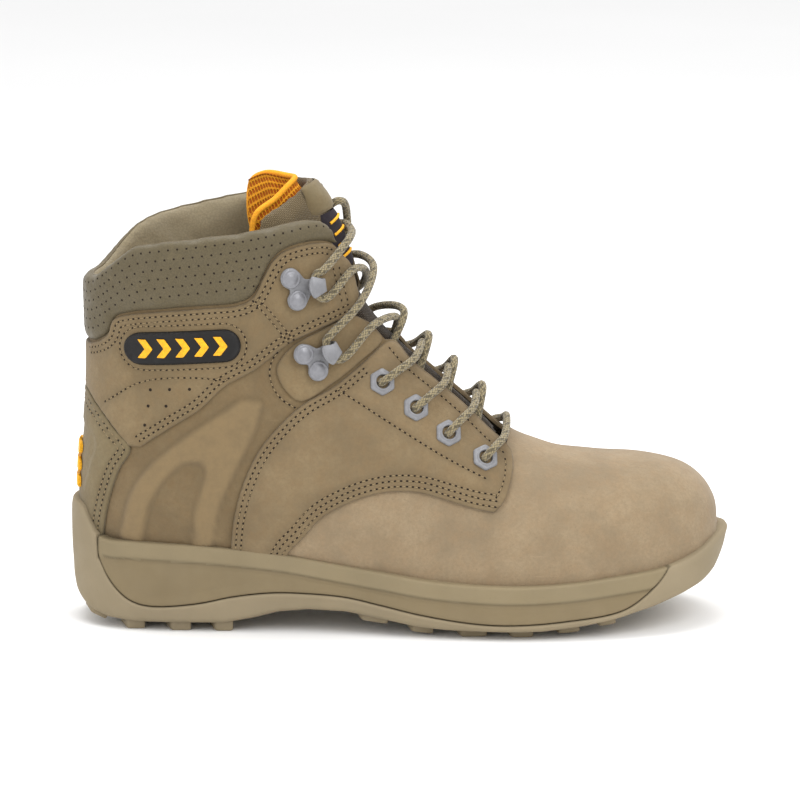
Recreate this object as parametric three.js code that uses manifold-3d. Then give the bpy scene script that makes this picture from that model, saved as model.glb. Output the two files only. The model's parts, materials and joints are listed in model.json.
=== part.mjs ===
// Steel toe work boot for the right foot. Millimetres, +Z up, the toe towards +X, the outer side towards -Y.
// The upper is a fan of rings from the toe to the ankle. Every layer of it is an offset of that one surface.
import * as THREE from 'three';
import { mergeVertices } from 'three/addons/utils/BufferGeometryUtils.js';
import Module from 'manifold-3d';

const wasm = await Module();
wasm.setup();

// ---- Driving dimensions ----
const GAP = 0.3;                 // clearance between touching pieces
const LEATHER = 2.0;             // base leather, from the surface inwards
const OVERLAY = 1.5;             // overlay panels, above the surface
const LINING = [-6.5, -4.1];     // inner and outer offset of the lining
const STIFFENER = [-3.8, -2.3];  // steel toe cap and heel stiffener
const COLLAR = [-6.5, 3.2];      // padded collar
const FOOT_SPACE = -6.9;         // offset of the room for insole board and footbed
const INSOLE_BOARD = 2.0;
const FOOTBED = 5.0;
const PLATE = 1.2;               // steel midsole plate
const PLATE_EDGE = -5;           // offset of its outline
const TREAD = 4.0;               // depth of the lugs
const LACE_RADIUS = 1.92;
const LACE_SIDES = 8;
const RIVET_SIDES = 8;
const EYELET_SIDES = 10;
const EYELET_BORE = 3.2;
const EYELET_BARREL = 3.9;
const EYELET_FLANGE = 6.6;       // corner radius of the hexagonal flange
const SHEET = 1.2;               // metal of eyelets and hooks
const RIVET_HEAD = 4.6;
const RIVET_SHANK = 1.6;
const FAR = 400;                 // longer than the boot, for cutting prisms
const BLOCK_SPARE = 4;           // height of the sole blank above its finished edge
const THROAT_HALF = 13.5;        // half the gap between the two fronts of the collar
const OVERLAY_TOP = GAP + OVERLAY;
const METAL_BASE = OVERLAY_TOP + GAP;
const METAL_TOP = METAL_BASE + SHEET;

// ---- Rings of the upper, from the toe tip to above the collar ----
// top x, top z, bottom x, bottom z, half width, centre y, widest at (0 top, 1 bottom), top roundness, bottom roundness
const RINGS = [
  [150, 46, 150, 39, 4, 5, 0.6, 2.2, 3],
  [148.5, 56, 148, 28, 15.5, 4.8, 0.62, 2.3, 3.4],
  [142, 66, 141, 21.5, 25, 4.5, 0.66, 2.4, 3.8],
  [131, 73, 129, 17.5, 34, 4, 0.7, 2.4, 4],
  [113, 77.2, 111, 15.5, 42, 2.8, 0.74, 2.3, 4],
  [92, 78.5, 88, 13.5, 47, 1.5, 0.76, 2.2, 4],
  [71, 81.5, 63, 12.5, 48.5, 0.5, 0.78, 2.1, 4],
  [53, 89, 36, 13, 46.8, -0.7, 0.8, 2, 4],
  [40, 101, 8, 15.5, 43, -1, 0.78, 2, 4],
  [27, 113, -22, 19.5, 40, -0.5, 0.74, 2, 4],
  [15, 124.5, -57, 24, 38.5, 0, 0.66, 2, 3.6],
  [3, 136, -94, 26.5, 38, 0, 0.58, 2, 3.2],
  [-7, 146.5, -126, 28.5, 38.5, 0, 0.52, 2.1, 2.9],
  [-13.5, 156, -144.5, 40, 39, 0, 0.47, 2.2, 2.6],
  [-18, 165, -149, 58, 39, 0, 0.43, 2.2, 2.4],
  [-21.5, 174.5, -148.5, 78, 38.5, 0, 0.41, 2.2, 2.3],
  [-25, 185, -146.5, 100, 38, 0, 0.4, 2.2, 2.2],
  [-29, 196, -145.5, 122, 38.5, 0, 0.4, 2.2, 2.1],
  [-33, 207, -145.5, 145, 39.5, 0, 0.41, 2.2, 2.1],
  [-37, 218, -146, 168, 41, 0, 0.42, 2.2, 2.1],
  [-41, 229, -146.5, 191, 42.5, 0, 0.43, 2.2, 2.1],
];
const LAST_RING = RINGS.length - 1;
const RING_STEPS = 90;

// ---- Side-view curves, [x, z] ----
const FLOOR_LINE = [[-160, 37], [-100, 35], [-60, 32], [-20, 26], [20, 21], [60, 19.5], [100, 21], [130, 26], [160, 31]];
const RAND_LINE = [[-160, 57.5], [-150, 57], [-145, 49], [-141, 43.5], [-123, 42.5], [-99, 41.6], [-78, 40], [-54, 37.5],
  [-30, 33.6], [-9, 30.5], [12, 27.5], [34, 26], [55, 25.6], [77, 26.5], [98, 28.5], [125, 31.5], [142, 37],
  [149, 41.5], [160, 46]];
const PARTING_LINE = [[-141.5, 46], [-141, 34], [-135, 22.5], [-127, 14.8], [-118, 12], [-95, 13.6], [-78, 17.2],
  [-60, 19.4], [-43, 19.4], [-25, 18.2], [-9, 15.1], [9, 11.4], [34, 8], [51, 7.4], [77, 9], [104, 13], [115, 20],
  [122, 26.7], [127, 34]];
const ROOT_LINE = [[-154, 24], [-152.5, 17], [-149, 11.5], [-144, 7.5], [-136, 5], [-124, 4], [-82, 4.3], [-68, 7],
  [-57, 10], [-43, 11.5], [-25, 11], [-10, 8.5], [8, 5.2], [22, 4.2], [50, 4], [66, 4.2], [85, 6.3], [104, 9.8],
  [118, 13.2], [131, 17.5], [140, 21], [146, 25], [150, 31], [153.5, 38]];

// ---- Plan of the sole: x, half width at the top edge ----
const SOLE_PLAN = [[-153.8, 4], [-152.6, 10], [-149, 17.5], [-143, 23.5], [-135, 28.5], [-123, 32.5], [-105, 35.2],
  [-85, 36.2], [-65, 37.2], [-45, 38.8], [-25, 41.4], [-5, 45], [15, 48.6], [35, 51.4], [55, 52.6], [75, 52],
  [95, 49.6], [110, 45.8], [122, 41.4], [132, 36.4], [140, 30.5], [146, 23.5], [150, 16.5], [152.5, 10], [153.8, 4]];
const SOLE_CENTRE = [[-154, 0], [60, 0], [90, 1.5], [120, 3.2], [140, 4.3], [154, 5]];

// ---- Seam lines of the panels in side view, [x, z] ----
const THROAT_EDGE = [[-6.7, 134.1], [-3, 133.4], [4.7, 124.6], [15.9, 115.2], [30.8, 102.4], [42.1, 91.6], [49.4, 85.5]];
const SADDLE_FRONT = [[51.5, 82.7], [52.4, 77.8], [50.3, 68.2], [48, 63], [43.6, 58.7], [34.9, 60.3], [22.8, 63.7],
  [8.9, 67.5], [-3.6, 68], [-13.8, 66.3], [-24.2, 62.6], [-35.8, 56.1], [-45.1, 45.9], [-52.1, 38], [-56, 20]];
const SADDLE_REAR = [[-80, 20], [-78.5, 40.4], [-76.8, 55.8], [-72.5, 71.8], [-65.2, 87.4], [-55.3, 99.6],
  [-44.5, 109], [-31.1, 116.2], [-18.7, 125.2]];
const VAMP_SEAM = [[49.5, 120], [49.5, 84], [42, 73], [10, 76], [-16, 74], [-42, 62], [-64, 36], [-70, 0]];
const ANKLE_FRONT = [[-22.2, 149.1], [-19.9, 154.7], [-21.3, 161.6], [-24.4, 171.6], [-27, 175]];
const ANKLE_LOWER = [[-120, 88.4], [-104.2, 99.2], [-92.2, 107.1], [-80.5, 118.2], [-66.6, 126.1], [-51.5, 137.6],
  [-36.7, 144]];
const COLLAR_SEAM = [[-28.8, 176.6], [-31.6, 181.1], [-38.5, 183.1], [-52.8, 180.9], [-58.4, 176.5], [-62.2, 169.8],
  [-67.5, 159.5], [-73.5, 156.2], [-89.8, 154.5], [-111.1, 152.3], [-127.4, 149.3], [-131.9, 146.7],
  [-134.5, 139.4], [-137.8, 136.2], [-145.4, 133], [-160, 132.5]];
const OUTER_TOPLINE = [[-160, 165], [-142, 166], [-138.3, 169.2], [-130.7, 176.2], [-122.5, 182.1], [-108.9, 185],
  [-91.4, 187.3], [-68.2, 190.2], [-54.7, 192.6], [-40.3, 194.1], [-33.8, 191.5], [-28.6, 186.5], [-26, 180]];
const INNER_TOPLINE = [[-160, 165], [-142, 166], [-138, 170], [-130.7, 178], [-122.5, 184.5], [-108.9, 189],
  [-91.4, 193], [-68.2, 198.5], [-54.7, 202.5], [-42, 205.5], [-35, 203.5], [-31.5, 197], [-27, 186], [-25.5, 178]];
const HEEL_COVER_FRONT = [[-160, 112], [-146, 112], [-140, 105], [-132.3, 95.8], [-124.6, 87.2], [-130.2, 76.4],
  [-135.2, 60.8], [-138.1, 44.4], [-139, 20], [-160, 20]];
const HOOK_PANEL = [[-8.4, 135.6], [-13, 141], [-21.6, 148], [-36.7, 142.8], [-50.2, 136], [-56.8, 127], [-56, 121],
  [-50.6, 112.9], [-45.2, 110.2], [-31.7, 117.4], [-19.2, 126.3]];
const STIFFENER_EDGE = [[-160, 30], [-160, 104], [-142, 102], [-118, 84], [-96, 66], [-78, 50], [-74, 20]];
const LINING_FRONT = [[44, 0], [41, 71], [18, 83], [-5, 97], [-28, 113], [-43, 128], [-48, 150], [-48, 190]];
const TOE_CAP_EDGE = [[94, 0], [95, 40], [98, 100]];

// ---- Hardware places: ring number, fraction of the half ring from the instep ridge ----
const EYELETS = [[7.68, 0.235], [8.74, 0.225], [9.74, 0.21], [10.79, 0.195]];
const HOOKS = [[12.74, 0.22], [15.3, 0.215]];
const SIDES = { lateral: -1, medial: 1 };

// ---- Materials ----
const material = (color, roughness, metalness = 0) => new THREE.MeshStandardMaterial({ color, roughness, metalness });
const NUBUCK = material('#a08a63', 0.85);
const NUBUCK_DARK = material('#8d7852', 0.85);
const COLLAR_LEATHER = material('#6c5e42', 0.7);
const LINING_FABRIC = material('#7c6c4c', 0.95);
const MESH_ORANGE = material('#cf8a24', 0.9);
const WEBBING = material('#7a694a', 0.95);
const OUTSOLE_RUBBER = material('#a4957a', 0.75);
const MIDSOLE_RUBBER = material('#958468', 0.75);
const GREY_METAL = material('#96959a', 0.45, 0.7);
const STEEL = material('#8a8d90', 0.35, 1);
const FIBREBOARD = material('#b39a70', 0.9);
const FOAM = material('#3a3a38', 0.9);
const BLACK_RUBBER = material('#1d1b19', 0.6);
const YELLOW = material('#e0a62a', 0.6);
const LACE_BROWN = material('#887c60', 0.9);
const CLEAR_PLASTIC = material('#6b5a3c', 0.4);

// ---- Small maths ----
function along(curve, x) {
  let i = 1;
  while (i < curve.length - 1 && curve[i][0] < x) i += 1;
  const [a, b] = [curve[i - 1], curve[i]];
  return THREE.MathUtils.lerp(a[1], b[1], THREE.MathUtils.clamp((x - a[0]) / (b[0] - a[0]), 0, 1));
}

function ringValues(u) {
  const i = Math.min(Math.floor(u), LAST_RING - 1);
  const f = u - i;
  const b = RINGS[i];
  const c = RINGS[i + 1];
  const a = i > 0 ? RINGS[i - 1] : b.map((value, k) => 2 * value - c[k]);
  const d = i + 2 <= LAST_RING ? RINGS[i + 2] : c.map((value, k) => 2 * value - b[k]);
  return b.map((_, k) => 0.5 * (2 * b[k] + (c[k] - a[k]) * f + (2 * a[k] - 5 * b[k] + 4 * c[k] - d[k]) * f * f
    + (3 * b[k] - a[k] - 3 * c[k] + d[k]) * f * f * f));
}

const ringCache = new Map();

// Half of one ring as points with their distance along it, from the instep ridge to the underside.
function halfRing(u) {
  const key = u.toFixed(4);
  if (ringCache.has(key)) return ringCache.get(key);
  const [topX, topZ, lowX, lowZ, half, centre, widest, topPower, lowPower] = ringValues(u);
  const points = [];
  let length = 0;
  for (let k = 0; k <= RING_STEPS; k += 1) {
    const angle = Math.PI * k / RING_STEPS;
    const cos = Math.cos(angle);
    const power = 2 / (cos > 0 ? topPower : lowPower);
    const reach = Math.abs(cos) ** power;
    const t = cos > 0 ? widest * (1 - reach) : widest + (1 - widest) * reach;
    const point = [topX + (lowX - topX) * t, half * Math.sin(angle) ** power, topZ + (lowZ - topZ) * t];
    if (k > 0) length += Math.hypot(...point.map((value, axis) => value - points[k - 1][axis]));
    point.push(length);
    points.push(point);
  }
  const ring = { points, length, centre };
  ringCache.set(key, ring);
  return ring;
}

// A point of the surface: u is the ring, v runs from -1 (outer side, underneath) over 0 (the ridge) to 1.
function surfacePoint(u, v) {
  const wrapped = v > 1 ? v - 2 : v < -1 ? v + 2 : v;
  const ring = halfRing(THREE.MathUtils.clamp(u, 0, LAST_RING));
  const distance = Math.abs(wrapped) * ring.length;
  let k = 1;
  while (k < RING_STEPS && ring.points[k][3] < distance) k += 1;
  const [a, b] = [ring.points[k - 1], ring.points[k]];
  const f = (distance - a[3]) / (b[3] - a[3]);
  const side = Math.sign(wrapped) * (a[1] + (b[1] - a[1]) * f);
  return new THREE.Vector3(a[0] + (b[0] - a[0]) * f, ring.centre + side, a[2] + (b[2] - a[2]) * f);
}

function surfaceFrame(u, v) {
  const du = 0.05;
  const dv = 0.02;
  const ahead = surfacePoint(Math.min(u + du, LAST_RING), v).sub(surfacePoint(Math.max(u - du, 0), v)).normalize();
  const across = surfacePoint(u, v + dv).sub(surfacePoint(u, v - dv)).normalize();
  const normal = new THREE.Vector3().crossVectors(across, ahead).normalize();
  return { origin: surfacePoint(u, v), ahead, across, normal };
}

function offsetPoint(u, v, offset) {
  const { origin, normal } = surfaceFrame(u, v);
  return origin.addScaledVector(normal, offset);
}

// ---- Solids ----
function geometryOf(points, triangles) {
  const geometry = new THREE.BufferGeometry();
  geometry.setAttribute('position', new THREE.Float32BufferAttribute(points.flatMap((p) => [p.x, p.y, p.z]), 3));
  geometry.setIndex(triangles.flat());
  return geometry;
}

function solidOf(geometry) {
  const bare = geometry.clone();
  bare.deleteAttribute('normal');
  bare.deleteAttribute('uv');
  const merged = mergeVertices(bare, 1e-4);
  const vertProperties = new Float32Array(merged.attributes.position.array);
  const triVerts = new Uint32Array(merged.index.array);
  const solid = new wasm.Manifold(new wasm.Mesh({ numProp: 3, vertProperties, triVerts }));
  if (solid.volume() > 0) return solid;
  return new wasm.Manifold(new wasm.Mesh({ numProp: 3, vertProperties, triVerts: triVerts.reverse() }));
}

function geometryFrom(solid) {
  const mesh = solid.getMesh();
  const geometry = new THREE.BufferGeometry();
  geometry.setAttribute('position', new THREE.BufferAttribute(new Float32Array(mesh.vertProperties), 3));
  geometry.setIndex(new THREE.BufferAttribute(new Uint32Array(mesh.triVerts), 1));
  geometry.computeVertexNormals();
  return geometry;
}

// The side walls between closed loops of points, joined section to section.
function walls(sections) {
  const count = sections[0].length;
  const triangles = [];
  for (let i = 0; i + 1 < sections.length; i += 1) {
    for (let j = 0; j < count; j += 1) {
      const a = i * count + j;
      const b = i * count + (j + 1) % count;
      triangles.push([a, b, b + count], [a, b + count, a + count]);
    }
  }
  return triangles;
}

// A loft with a fan at both ends, for round sections.
function loft(sections) {
  const count = sections[0].length;
  const points = sections.flat();
  const triangles = walls(sections);
  const middle = (section) => section.reduce((sum, p) => sum.add(p), new THREE.Vector3()).divideScalar(count);
  const first = points.push(middle(sections[0])) - 1;
  const last = points.push(middle(sections[sections.length - 1])) - 1;
  const lastRow = (sections.length - 1) * count;
  for (let j = 0; j < count; j += 1) {
    const next = (j + 1) % count;
    triangles.push([first, next, j], [last, lastRow + j, lastRow + next]);
  }
  return solidOf(geometryOf(points, triangles));
}

// A loft for thin bands: each section runs along the front and returns along the back.
function bandLoft(sections) {
  const count = sections[0].length;
  const triangles = walls(sections);
  const lastRow = (sections.length - 1) * count;
  for (let j = 0; j + 1 < count / 2; j += 1) {
    const [a, b, c, d] = [j, j + 1, count - 2 - j, count - 1 - j];
    triangles.push([a, c, b], [a, d, c]);
    triangles.push([lastRow + a, lastRow + b, lastRow + c], [lastRow + a, lastRow + c, lastRow + d]);
  }
  return solidOf(geometryOf(sections.flat(), triangles));
}

const GRID_RINGS = [0, 0.6, 1.3, 2, 3, 4, 5, 6, 7, 8, 9, 10, 11, 12, 13, 14, 16, 18, LAST_RING];
const GRID_SIDES = 20;

// One ring of the surface at an offset, from the ridge round by the inner side.
function ringSection(u, offset) {
  return Array.from({ length: GRID_SIDES }, (_, j) => offsetPoint(u, j < GRID_SIDES / 2
    ? 2 * j / GRID_SIDES : 2 * j / GRID_SIDES - 2, offset));
}

function filled(offset) {
  return loft(GRID_RINGS.map((u) => ringSection(u, offset)));
}

// A shell between two offsets, closed all round. Every panel is cut out of it.
function shell(inner, outer) {
  return filled(outer).subtract(filled(inner));
}

// The side-view outline, extruded across the boot between two values of y.
function prism(outline, low = -FAR, high = FAR) {
  const shape = new THREE.Shape(outline.map(([x, z]) => new THREE.Vector2(x, z)));
  const geometry = new THREE.ExtrudeGeometry(shape, { depth: high - low, bevelEnabled: false });
  geometry.rotateX(Math.PI / 2);
  geometry.translate(0, high, 0);
  return solidOf(geometry);
}

const raised = (line, lift) => line.map(([x, z]) => [x, z + lift]);
const above = (line, lift) => prism([...raised(line, lift), [FAR, FAR], [-FAR, FAR]]);
const between = (line, low, high) => prism([...raised(line, low), ...raised(line, high).reverse()]);
const oneSide = (outline, side) => (side < 0 ? prism(outline, -FAR, -GAP / 2) : prism(outline, GAP / 2, FAR));

// Places a solid or a point by ring, fraction and offset: local x to the instep ridge, y up the boot, z outwards.
function placeOnSurface(u, v) {
  const { origin, ahead, normal } = surfaceFrame(u, v);
  const up = ahead.clone().addScaledVector(normal, -ahead.dot(normal)).normalize();
  const ridgeward = new THREE.Vector3().crossVectors(up, normal).normalize();
  if (ridgeward.dot(surfacePoint(u, 0).sub(origin)) < 0) {
    ridgeward.negate();
    up.negate();
  }
  return new THREE.Matrix4().makeBasis(ridgeward, up, normal).setPosition(origin);
}

// ---- Sole ----
function soleBlock() {
  const sections = SOLE_PLAN.map(([x, half]) => {
    const top = along(RAND_LINE, x) + BLOCK_SPARE;
    const root = along(ROOT_LINE, x);
    const centre = along(SOLE_CENTRE, x);
    const depth = top - root;
    const edge = Math.min(2.5, depth / 3);
    const right = [[half, top], [half + 0.6, root + depth * 0.55], [half - 0.4, root + edge], [half - 3, root]];
    const left = right.map(([y, z]) => [-y, z]).reverse();
    return [...right, ...left].map(([y, z]) => new THREE.Vector3(x, centre + y, z));
  });
  return loft(sections).intersect(prism([...RAND_LINE, [160, 0], [-160, 0]]));
}

// One lug of the tread: a flat-bottomed block that reaches from the ground line up into the outsole.
function lug(x, y, length, width, slant = 0, depth = TREAD) {
  const bottom = Math.max(0, along(ROOT_LINE, x) - depth - 0.3);
  const height = along(ROOT_LINE, x) + 1.2 - bottom;
  const outline = new THREE.Shape([[-1, -1], [1, -1], [1, 1], [-1, 1]].map(([a, b]) => new THREE.Vector2(
    a * length / 2 + b * slant, b * width / 2)));
  const geometry = new THREE.ExtrudeGeometry(outline, { depth: height, bevelEnabled: false });
  const tilt = bottom > 0.5 ? Math.atan2(along(ROOT_LINE, x + 4) - along(ROOT_LINE, x - 4), 8) : 0;
  geometry.rotateY(-tilt);
  geometry.translate(x, y, bottom + Math.abs(Math.sin(tilt)) * length / 2);
  return solidOf(geometry);
}

// x and length of the lugs along both edges, and of the shallow ones under the toe
const EDGE_LUGS = [[-143.5, 8.5], [-125.4, 9], [-104.2, 10], [-84, 9], [-13.6, 13], [8.6, 10.5], [32.6, 13], [55, 11],
  [77, 10.5], [95, 8.5]];
const EDGE_LUG_WIDTH = 17;
const EDGE_LUG_SHARE = 0.7;      // place of its middle, as a share of the half width
const TOE_LUGS = [110, 124];
const TOE_LUG_DEPTH = 2;
const CENTRE_LUGS = [-128, -112, -96, 12, 30, 48, 66, 84, 102, 118];

function tread() {
  const lugs = [];
  for (const side of [-1, 1]) {
    for (const [x, length] of EDGE_LUGS) {
      const half = along(SOLE_PLAN, x);
      const width = Math.min(EDGE_LUG_WIDTH, half * 0.45);
      lugs.push(lug(x, along(SOLE_CENTRE, x) + side * half * EDGE_LUG_SHARE, length, width, side * 2));
    }
    for (const x of TOE_LUGS) {
      const y = along(SOLE_CENTRE, x) + side * along(SOLE_PLAN, x) * 0.6;
      lugs.push(lug(x, y, 9, 12, side * 3, TOE_LUG_DEPTH));
    }
  }
  for (const x of CENTRE_LUGS) lugs.push(lug(x, along(SOLE_CENTRE, x), 8, along(SOLE_PLAN, x) * 0.5));
  return lugs;
}

const footSolid = filled(GAP).intersect(above(FLOOR_LINE, 0));
const blank = soleBlock();
const midsoleProfile = PARTING_LINE.map(([x, z]) => [x * 0.9975, z + GAP]);
const plateSolid = filled(PLATE_EDGE).intersect(between(FLOOR_LINE, -PLATE, 0));
const plateRecess = filled(PLATE_EDGE + GAP).intersect(between(FLOOR_LINE, -PLATE - GAP, 1));
const outsoleSolid = tread().reduce((sum, piece) => sum.add(piece), blank
  .subtract(prism([...PARTING_LINE, [127, 100], [-141.5, 100]])))
  .subtract(footSolid)
  .subtract(plateRecess);
const midsoleSolid = blank
  .intersect(prism([...midsoleProfile, [126.6, 100], [-141.1, 100]]))
  .subtract(footSolid)
  .subtract(plateRecess);

const footRoom = filled(FOOT_SPACE);
const insoleBoardSolid = footRoom.intersect(between(FLOOR_LINE, GAP, GAP + INSOLE_BOARD));
const footbedBottom = INSOLE_BOARD + 2 * GAP;
const footbedSolid = footRoom.intersect(between(FLOOR_LINE, footbedBottom, footbedBottom + FOOTBED));

// ---- Upper ----
const aboveFloor = above(FLOOR_LINE, GAP);
const aboveRand = above(RAND_LINE, GAP);
const leather = shell(-LEATHER, 0).intersect(aboveFloor);
const overlay = shell(GAP, OVERLAY_TOP).intersect(aboveRand);
const liningShell = shell(...LINING).intersect(aboveFloor);
const stiffenerShell = shell(...STIFFENER).intersect(aboveFloor);
const collarShell = shell(...COLLAR);

const shifted = (line, dx, dz) => line.map(([x, z]) => [x + dx, z + dz]);
const reversed = (line) => [...line].reverse();
const collarUnderside = shifted(COLLAR_SEAM, 0, -GAP);

const vampSolid = leather.intersect(prism([...VAMP_SEAM, [FAR, 0], [FAR, 120]]));
const quarterOutline = [...shifted(reversed(VAMP_SEAM.slice(2)), -GAP, GAP), [49, 84.5],
  ...reversed(THROAT_EDGE.slice(0, -1)), [-12, 140.5], ...ANKLE_FRONT, ...collarUnderside, [-160, 0]];
const saddleOutline = [...THROAT_EDGE, ...SADDLE_FRONT, ...SADDLE_REAR];
const ankleOutline = [...ANKLE_FRONT, ...collarUnderside, [-160, 112.6], [-146, 112.6], [-140.4, 105.8],
  [-132.7, 96.6], [-125, 88.2], ...ANKLE_LOWER];

const eyeletBores = [];
const rivetBores = [];

function cylinderAt(matrix, radius, low, high, sides) {
  const geometry = new THREE.CylinderGeometry(radius, radius, high - low, sides);
  geometry.rotateX(Math.PI / 2);
  geometry.translate(0, 0, (low + high) / 2);
  geometry.applyMatrix4(matrix);
  return geometry;
}

const RIVET_PLACES = [[-10.5, 5.2], [-8.6, -5.2]];
for (const side of Object.values(SIDES)) {
  for (const [u, v] of EYELETS) {
    eyeletBores.push(solidOf(cylinderAt(placeOnSurface(u, side * v), EYELET_BARREL + GAP, -3.9, 6, EYELET_SIDES)));
  }
  for (const [u, v] of HOOKS) {
    for (const [x, y] of RIVET_PLACES) {
      const place = placeOnSurface(u, side * v).multiply(new THREE.Matrix4().makeTranslation(x, y, 0));
      rivetBores.push(solidOf(cylinderAt(place, RIVET_SHANK + GAP, -3.9, 6, RIVET_SIDES)));
    }
  }
}
const bored = (solid) => [...eyeletBores, ...rivetBores].reduce((rest, bore) => rest.subtract(bore), solid);

// ---- Collar ----
const collarBottom = shifted(COLLAR_SEAM, 0, GAP);
const outerCollar = collarShell.intersect(prism([...collarBottom, ...OUTER_TOPLINE], -FAR, 0));
const innerCollar = collarShell.intersect(prism([...collarBottom, ...INNER_TOPLINE], 0, FAR));
const throatSlot = prism([[-80, 120], [0, 120], [0, 240], [-80, 240]], -THROAT_HALF, THROAT_HALF);
const collarSolid = outerCollar.add(innerCollar).subtract(throatSlot);

// ---- Patches: closed slabs between two offsets over a range of rings and fractions ----
function patch(rings, fractions, inner, outer) {
  const sections = rings.map((u) => {
    const row = fractions(u);
    const front = row.map((v) => offsetPoint(u, v, outer(u, v)));
    const back = row.map((v) => offsetPoint(u, v, inner(u, v))).reverse();
    return [...front, ...back];
  });
  return bandLoft(sections);
}

// ---- Tongue ----
const TONGUE_CROWN = [[7.3, -2.8], [8, -2.8], [16, -2.6], [17.4, -3], [18.6, -6]];
const TONGUE_WING = [[7.3, -5], [7.9, -9], [9, -9.8], [13, -10], [15, -13], [18.6, -13.6]];
const TONGUE_SHOULDER = [[16.9, 0.1], [18, 0.2]];
const TONGUE_THICKNESS = [[7.3, 2.5], [9, 4], [14, 6.5], [17, 8], [18.6, 7]];
const TONGUE_HALF = [[7.3, 0.12], [8.3, 0.19], [10, 0.23], [13, 0.25], [16, 0.32], [17.6, 0.36], [18.6, 0.32]];
const MESH_LAYER = 2.0;
const MESH_GAP = 2.4;            // the two faceted bands follow each other less closely than the panels
const LABEL = [0.9, 1.5];
const TONGUE_ROWS = [7.3, 8, 9, 10, 11, 12, 13, 14, 15, 16, 17, 17.8, 18.6];
const TONGUE_COLUMNS = 10;

function tongueFront(u, v) {
  const t = THREE.MathUtils.smoothstep(Math.abs(v), 0, along(TONGUE_SHOULDER, u));
  return THREE.MathUtils.lerp(along(TONGUE_CROWN, u), along(TONGUE_WING, u), t);
}
const tongueBack = (u, v) => tongueFront(u, v) - along(TONGUE_THICKNESS, u);

function tongueColumns(u) {
  const half = along(TONGUE_HALF, u);
  return Array.from({ length: TONGUE_COLUMNS + 1 }, (_, j) => half * (2 * j / TONGUE_COLUMNS - 1));
}

const tongueSolid = patch(TONGUE_ROWS, (u) => tongueColumns(u), tongueBack, tongueFront);
const tongueLiningSolid = patch(TONGUE_ROWS, (u) => tongueColumns(u),
  (u, v) => tongueBack(u, v) - MESH_GAP - MESH_LAYER, (u, v) => tongueBack(u, v) - MESH_GAP);
const labelFractions = () => [-0.05, -0.025, 0, 0.025, 0.05];
const labelBand = (rings) => patch(rings, labelFractions, (u, v) => tongueFront(u, v) + LABEL[0],
  (u, v) => tongueFront(u, v) + LABEL[1]);

// ---- Hardware ----
function eyeletGeometry(place) {
  const flange = new THREE.CylinderGeometry(EYELET_FLANGE, EYELET_FLANGE, SHEET, 6);
  flange.rotateX(Math.PI / 2);
  flange.translate(0, 0, METAL_BASE + SHEET / 2);
  const still = new THREE.Matrix4();
  const barrel = solidOf(cylinderAt(still, EYELET_BARREL, -LEATHER, METAL_TOP, EYELET_SIDES));
  const bore = solidOf(cylinderAt(still, EYELET_BORE, -LEATHER - 1, METAL_TOP + 1, EYELET_SIDES));
  const geometry = geometryFrom(solidOf(flange).add(barrel).subtract(bore));
  return geometry.applyMatrix4(place);
}

const HOOK_PLATE = [[-15, 8], [-7, 9.2], [0, 4], [3, 3.2], [3, -3.2], [0, -4], [-6, -9.2], [-12, -8.2], [-15.2, -2]];
const HOOK_BEND = [[-2, 0], [3.2, 0], [4.4, 1.4], [4.4, 6.6], [3.2, 8], [-4.6, 7.6], [-4.6, 6.4], [2.8, 6.7],
  [3.2, 6.3], [3.2, 1.8], [2.6, 1.2], [-2, 1.2]];
const HOOK_HALF = 3.2;

function hookGeometry(place) {
  const plateShape = new THREE.Shape(HOOK_PLATE.map(([x, y]) => new THREE.Vector2(x, y)));
  const plate = new THREE.ExtrudeGeometry(plateShape, { depth: SHEET, bevelEnabled: false });
  const bendShape = new THREE.Shape(HOOK_BEND.map(([x, z]) => new THREE.Vector2(x, z)));
  const bend = new THREE.ExtrudeGeometry(bendShape, { depth: 2 * HOOK_HALF, bevelEnabled: false });
  bend.rotateX(Math.PI / 2);
  bend.translate(0, HOOK_HALF, 0);
  let solid = solidOf(plate).add(solidOf(bend));
  for (const [x, y] of RIVET_PLACES) {
    const bore = cylinderAt(new THREE.Matrix4().makeTranslation(x, y, 0), RIVET_SHANK + GAP, -1, 3, RIVET_SIDES);
    solid = solid.subtract(solidOf(bore));
  }
  const geometry = geometryFrom(solid);
  geometry.translate(0, 0, METAL_BASE);
  return geometry.applyMatrix4(place);
}

function rivetGeometry(place, x, y) {
  const seat = METAL_TOP + GAP;
  const profile = [[0, -LEATHER - 1], [RIVET_SHANK, -LEATHER - 1], [RIVET_SHANK, seat], [RIVET_HEAD, seat],
    [RIVET_HEAD, seat + 0.7], [0, seat + 1.5]];
  const geometry = new THREE.LatheGeometry(profile.map(([r, h]) => new THREE.Vector2(r, h)), RIVET_SIDES);
  geometry.rotateX(Math.PI / 2);
  geometry.translate(x, y, 0);
  return geometryFrom(solidOf(geometry)).applyMatrix4(place);
}

// ---- Lace ----
// Each point is [ring, fraction, offset]. The lace enters each eyelet from above and leaves below the facing.
const EDGE_FRACTION = [[7.2, 0.14], [7.7, 0.135], [8.5, 0.115], [9.6, 0.105], [10.5, 0.1], [11.1, 0.086], [12, 0.1]];
const OVER = 4.5;
const UNDER = -5.5;
const LOW_CROSSING = 1.6;
const HIGH_CROSSING = 6;

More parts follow.
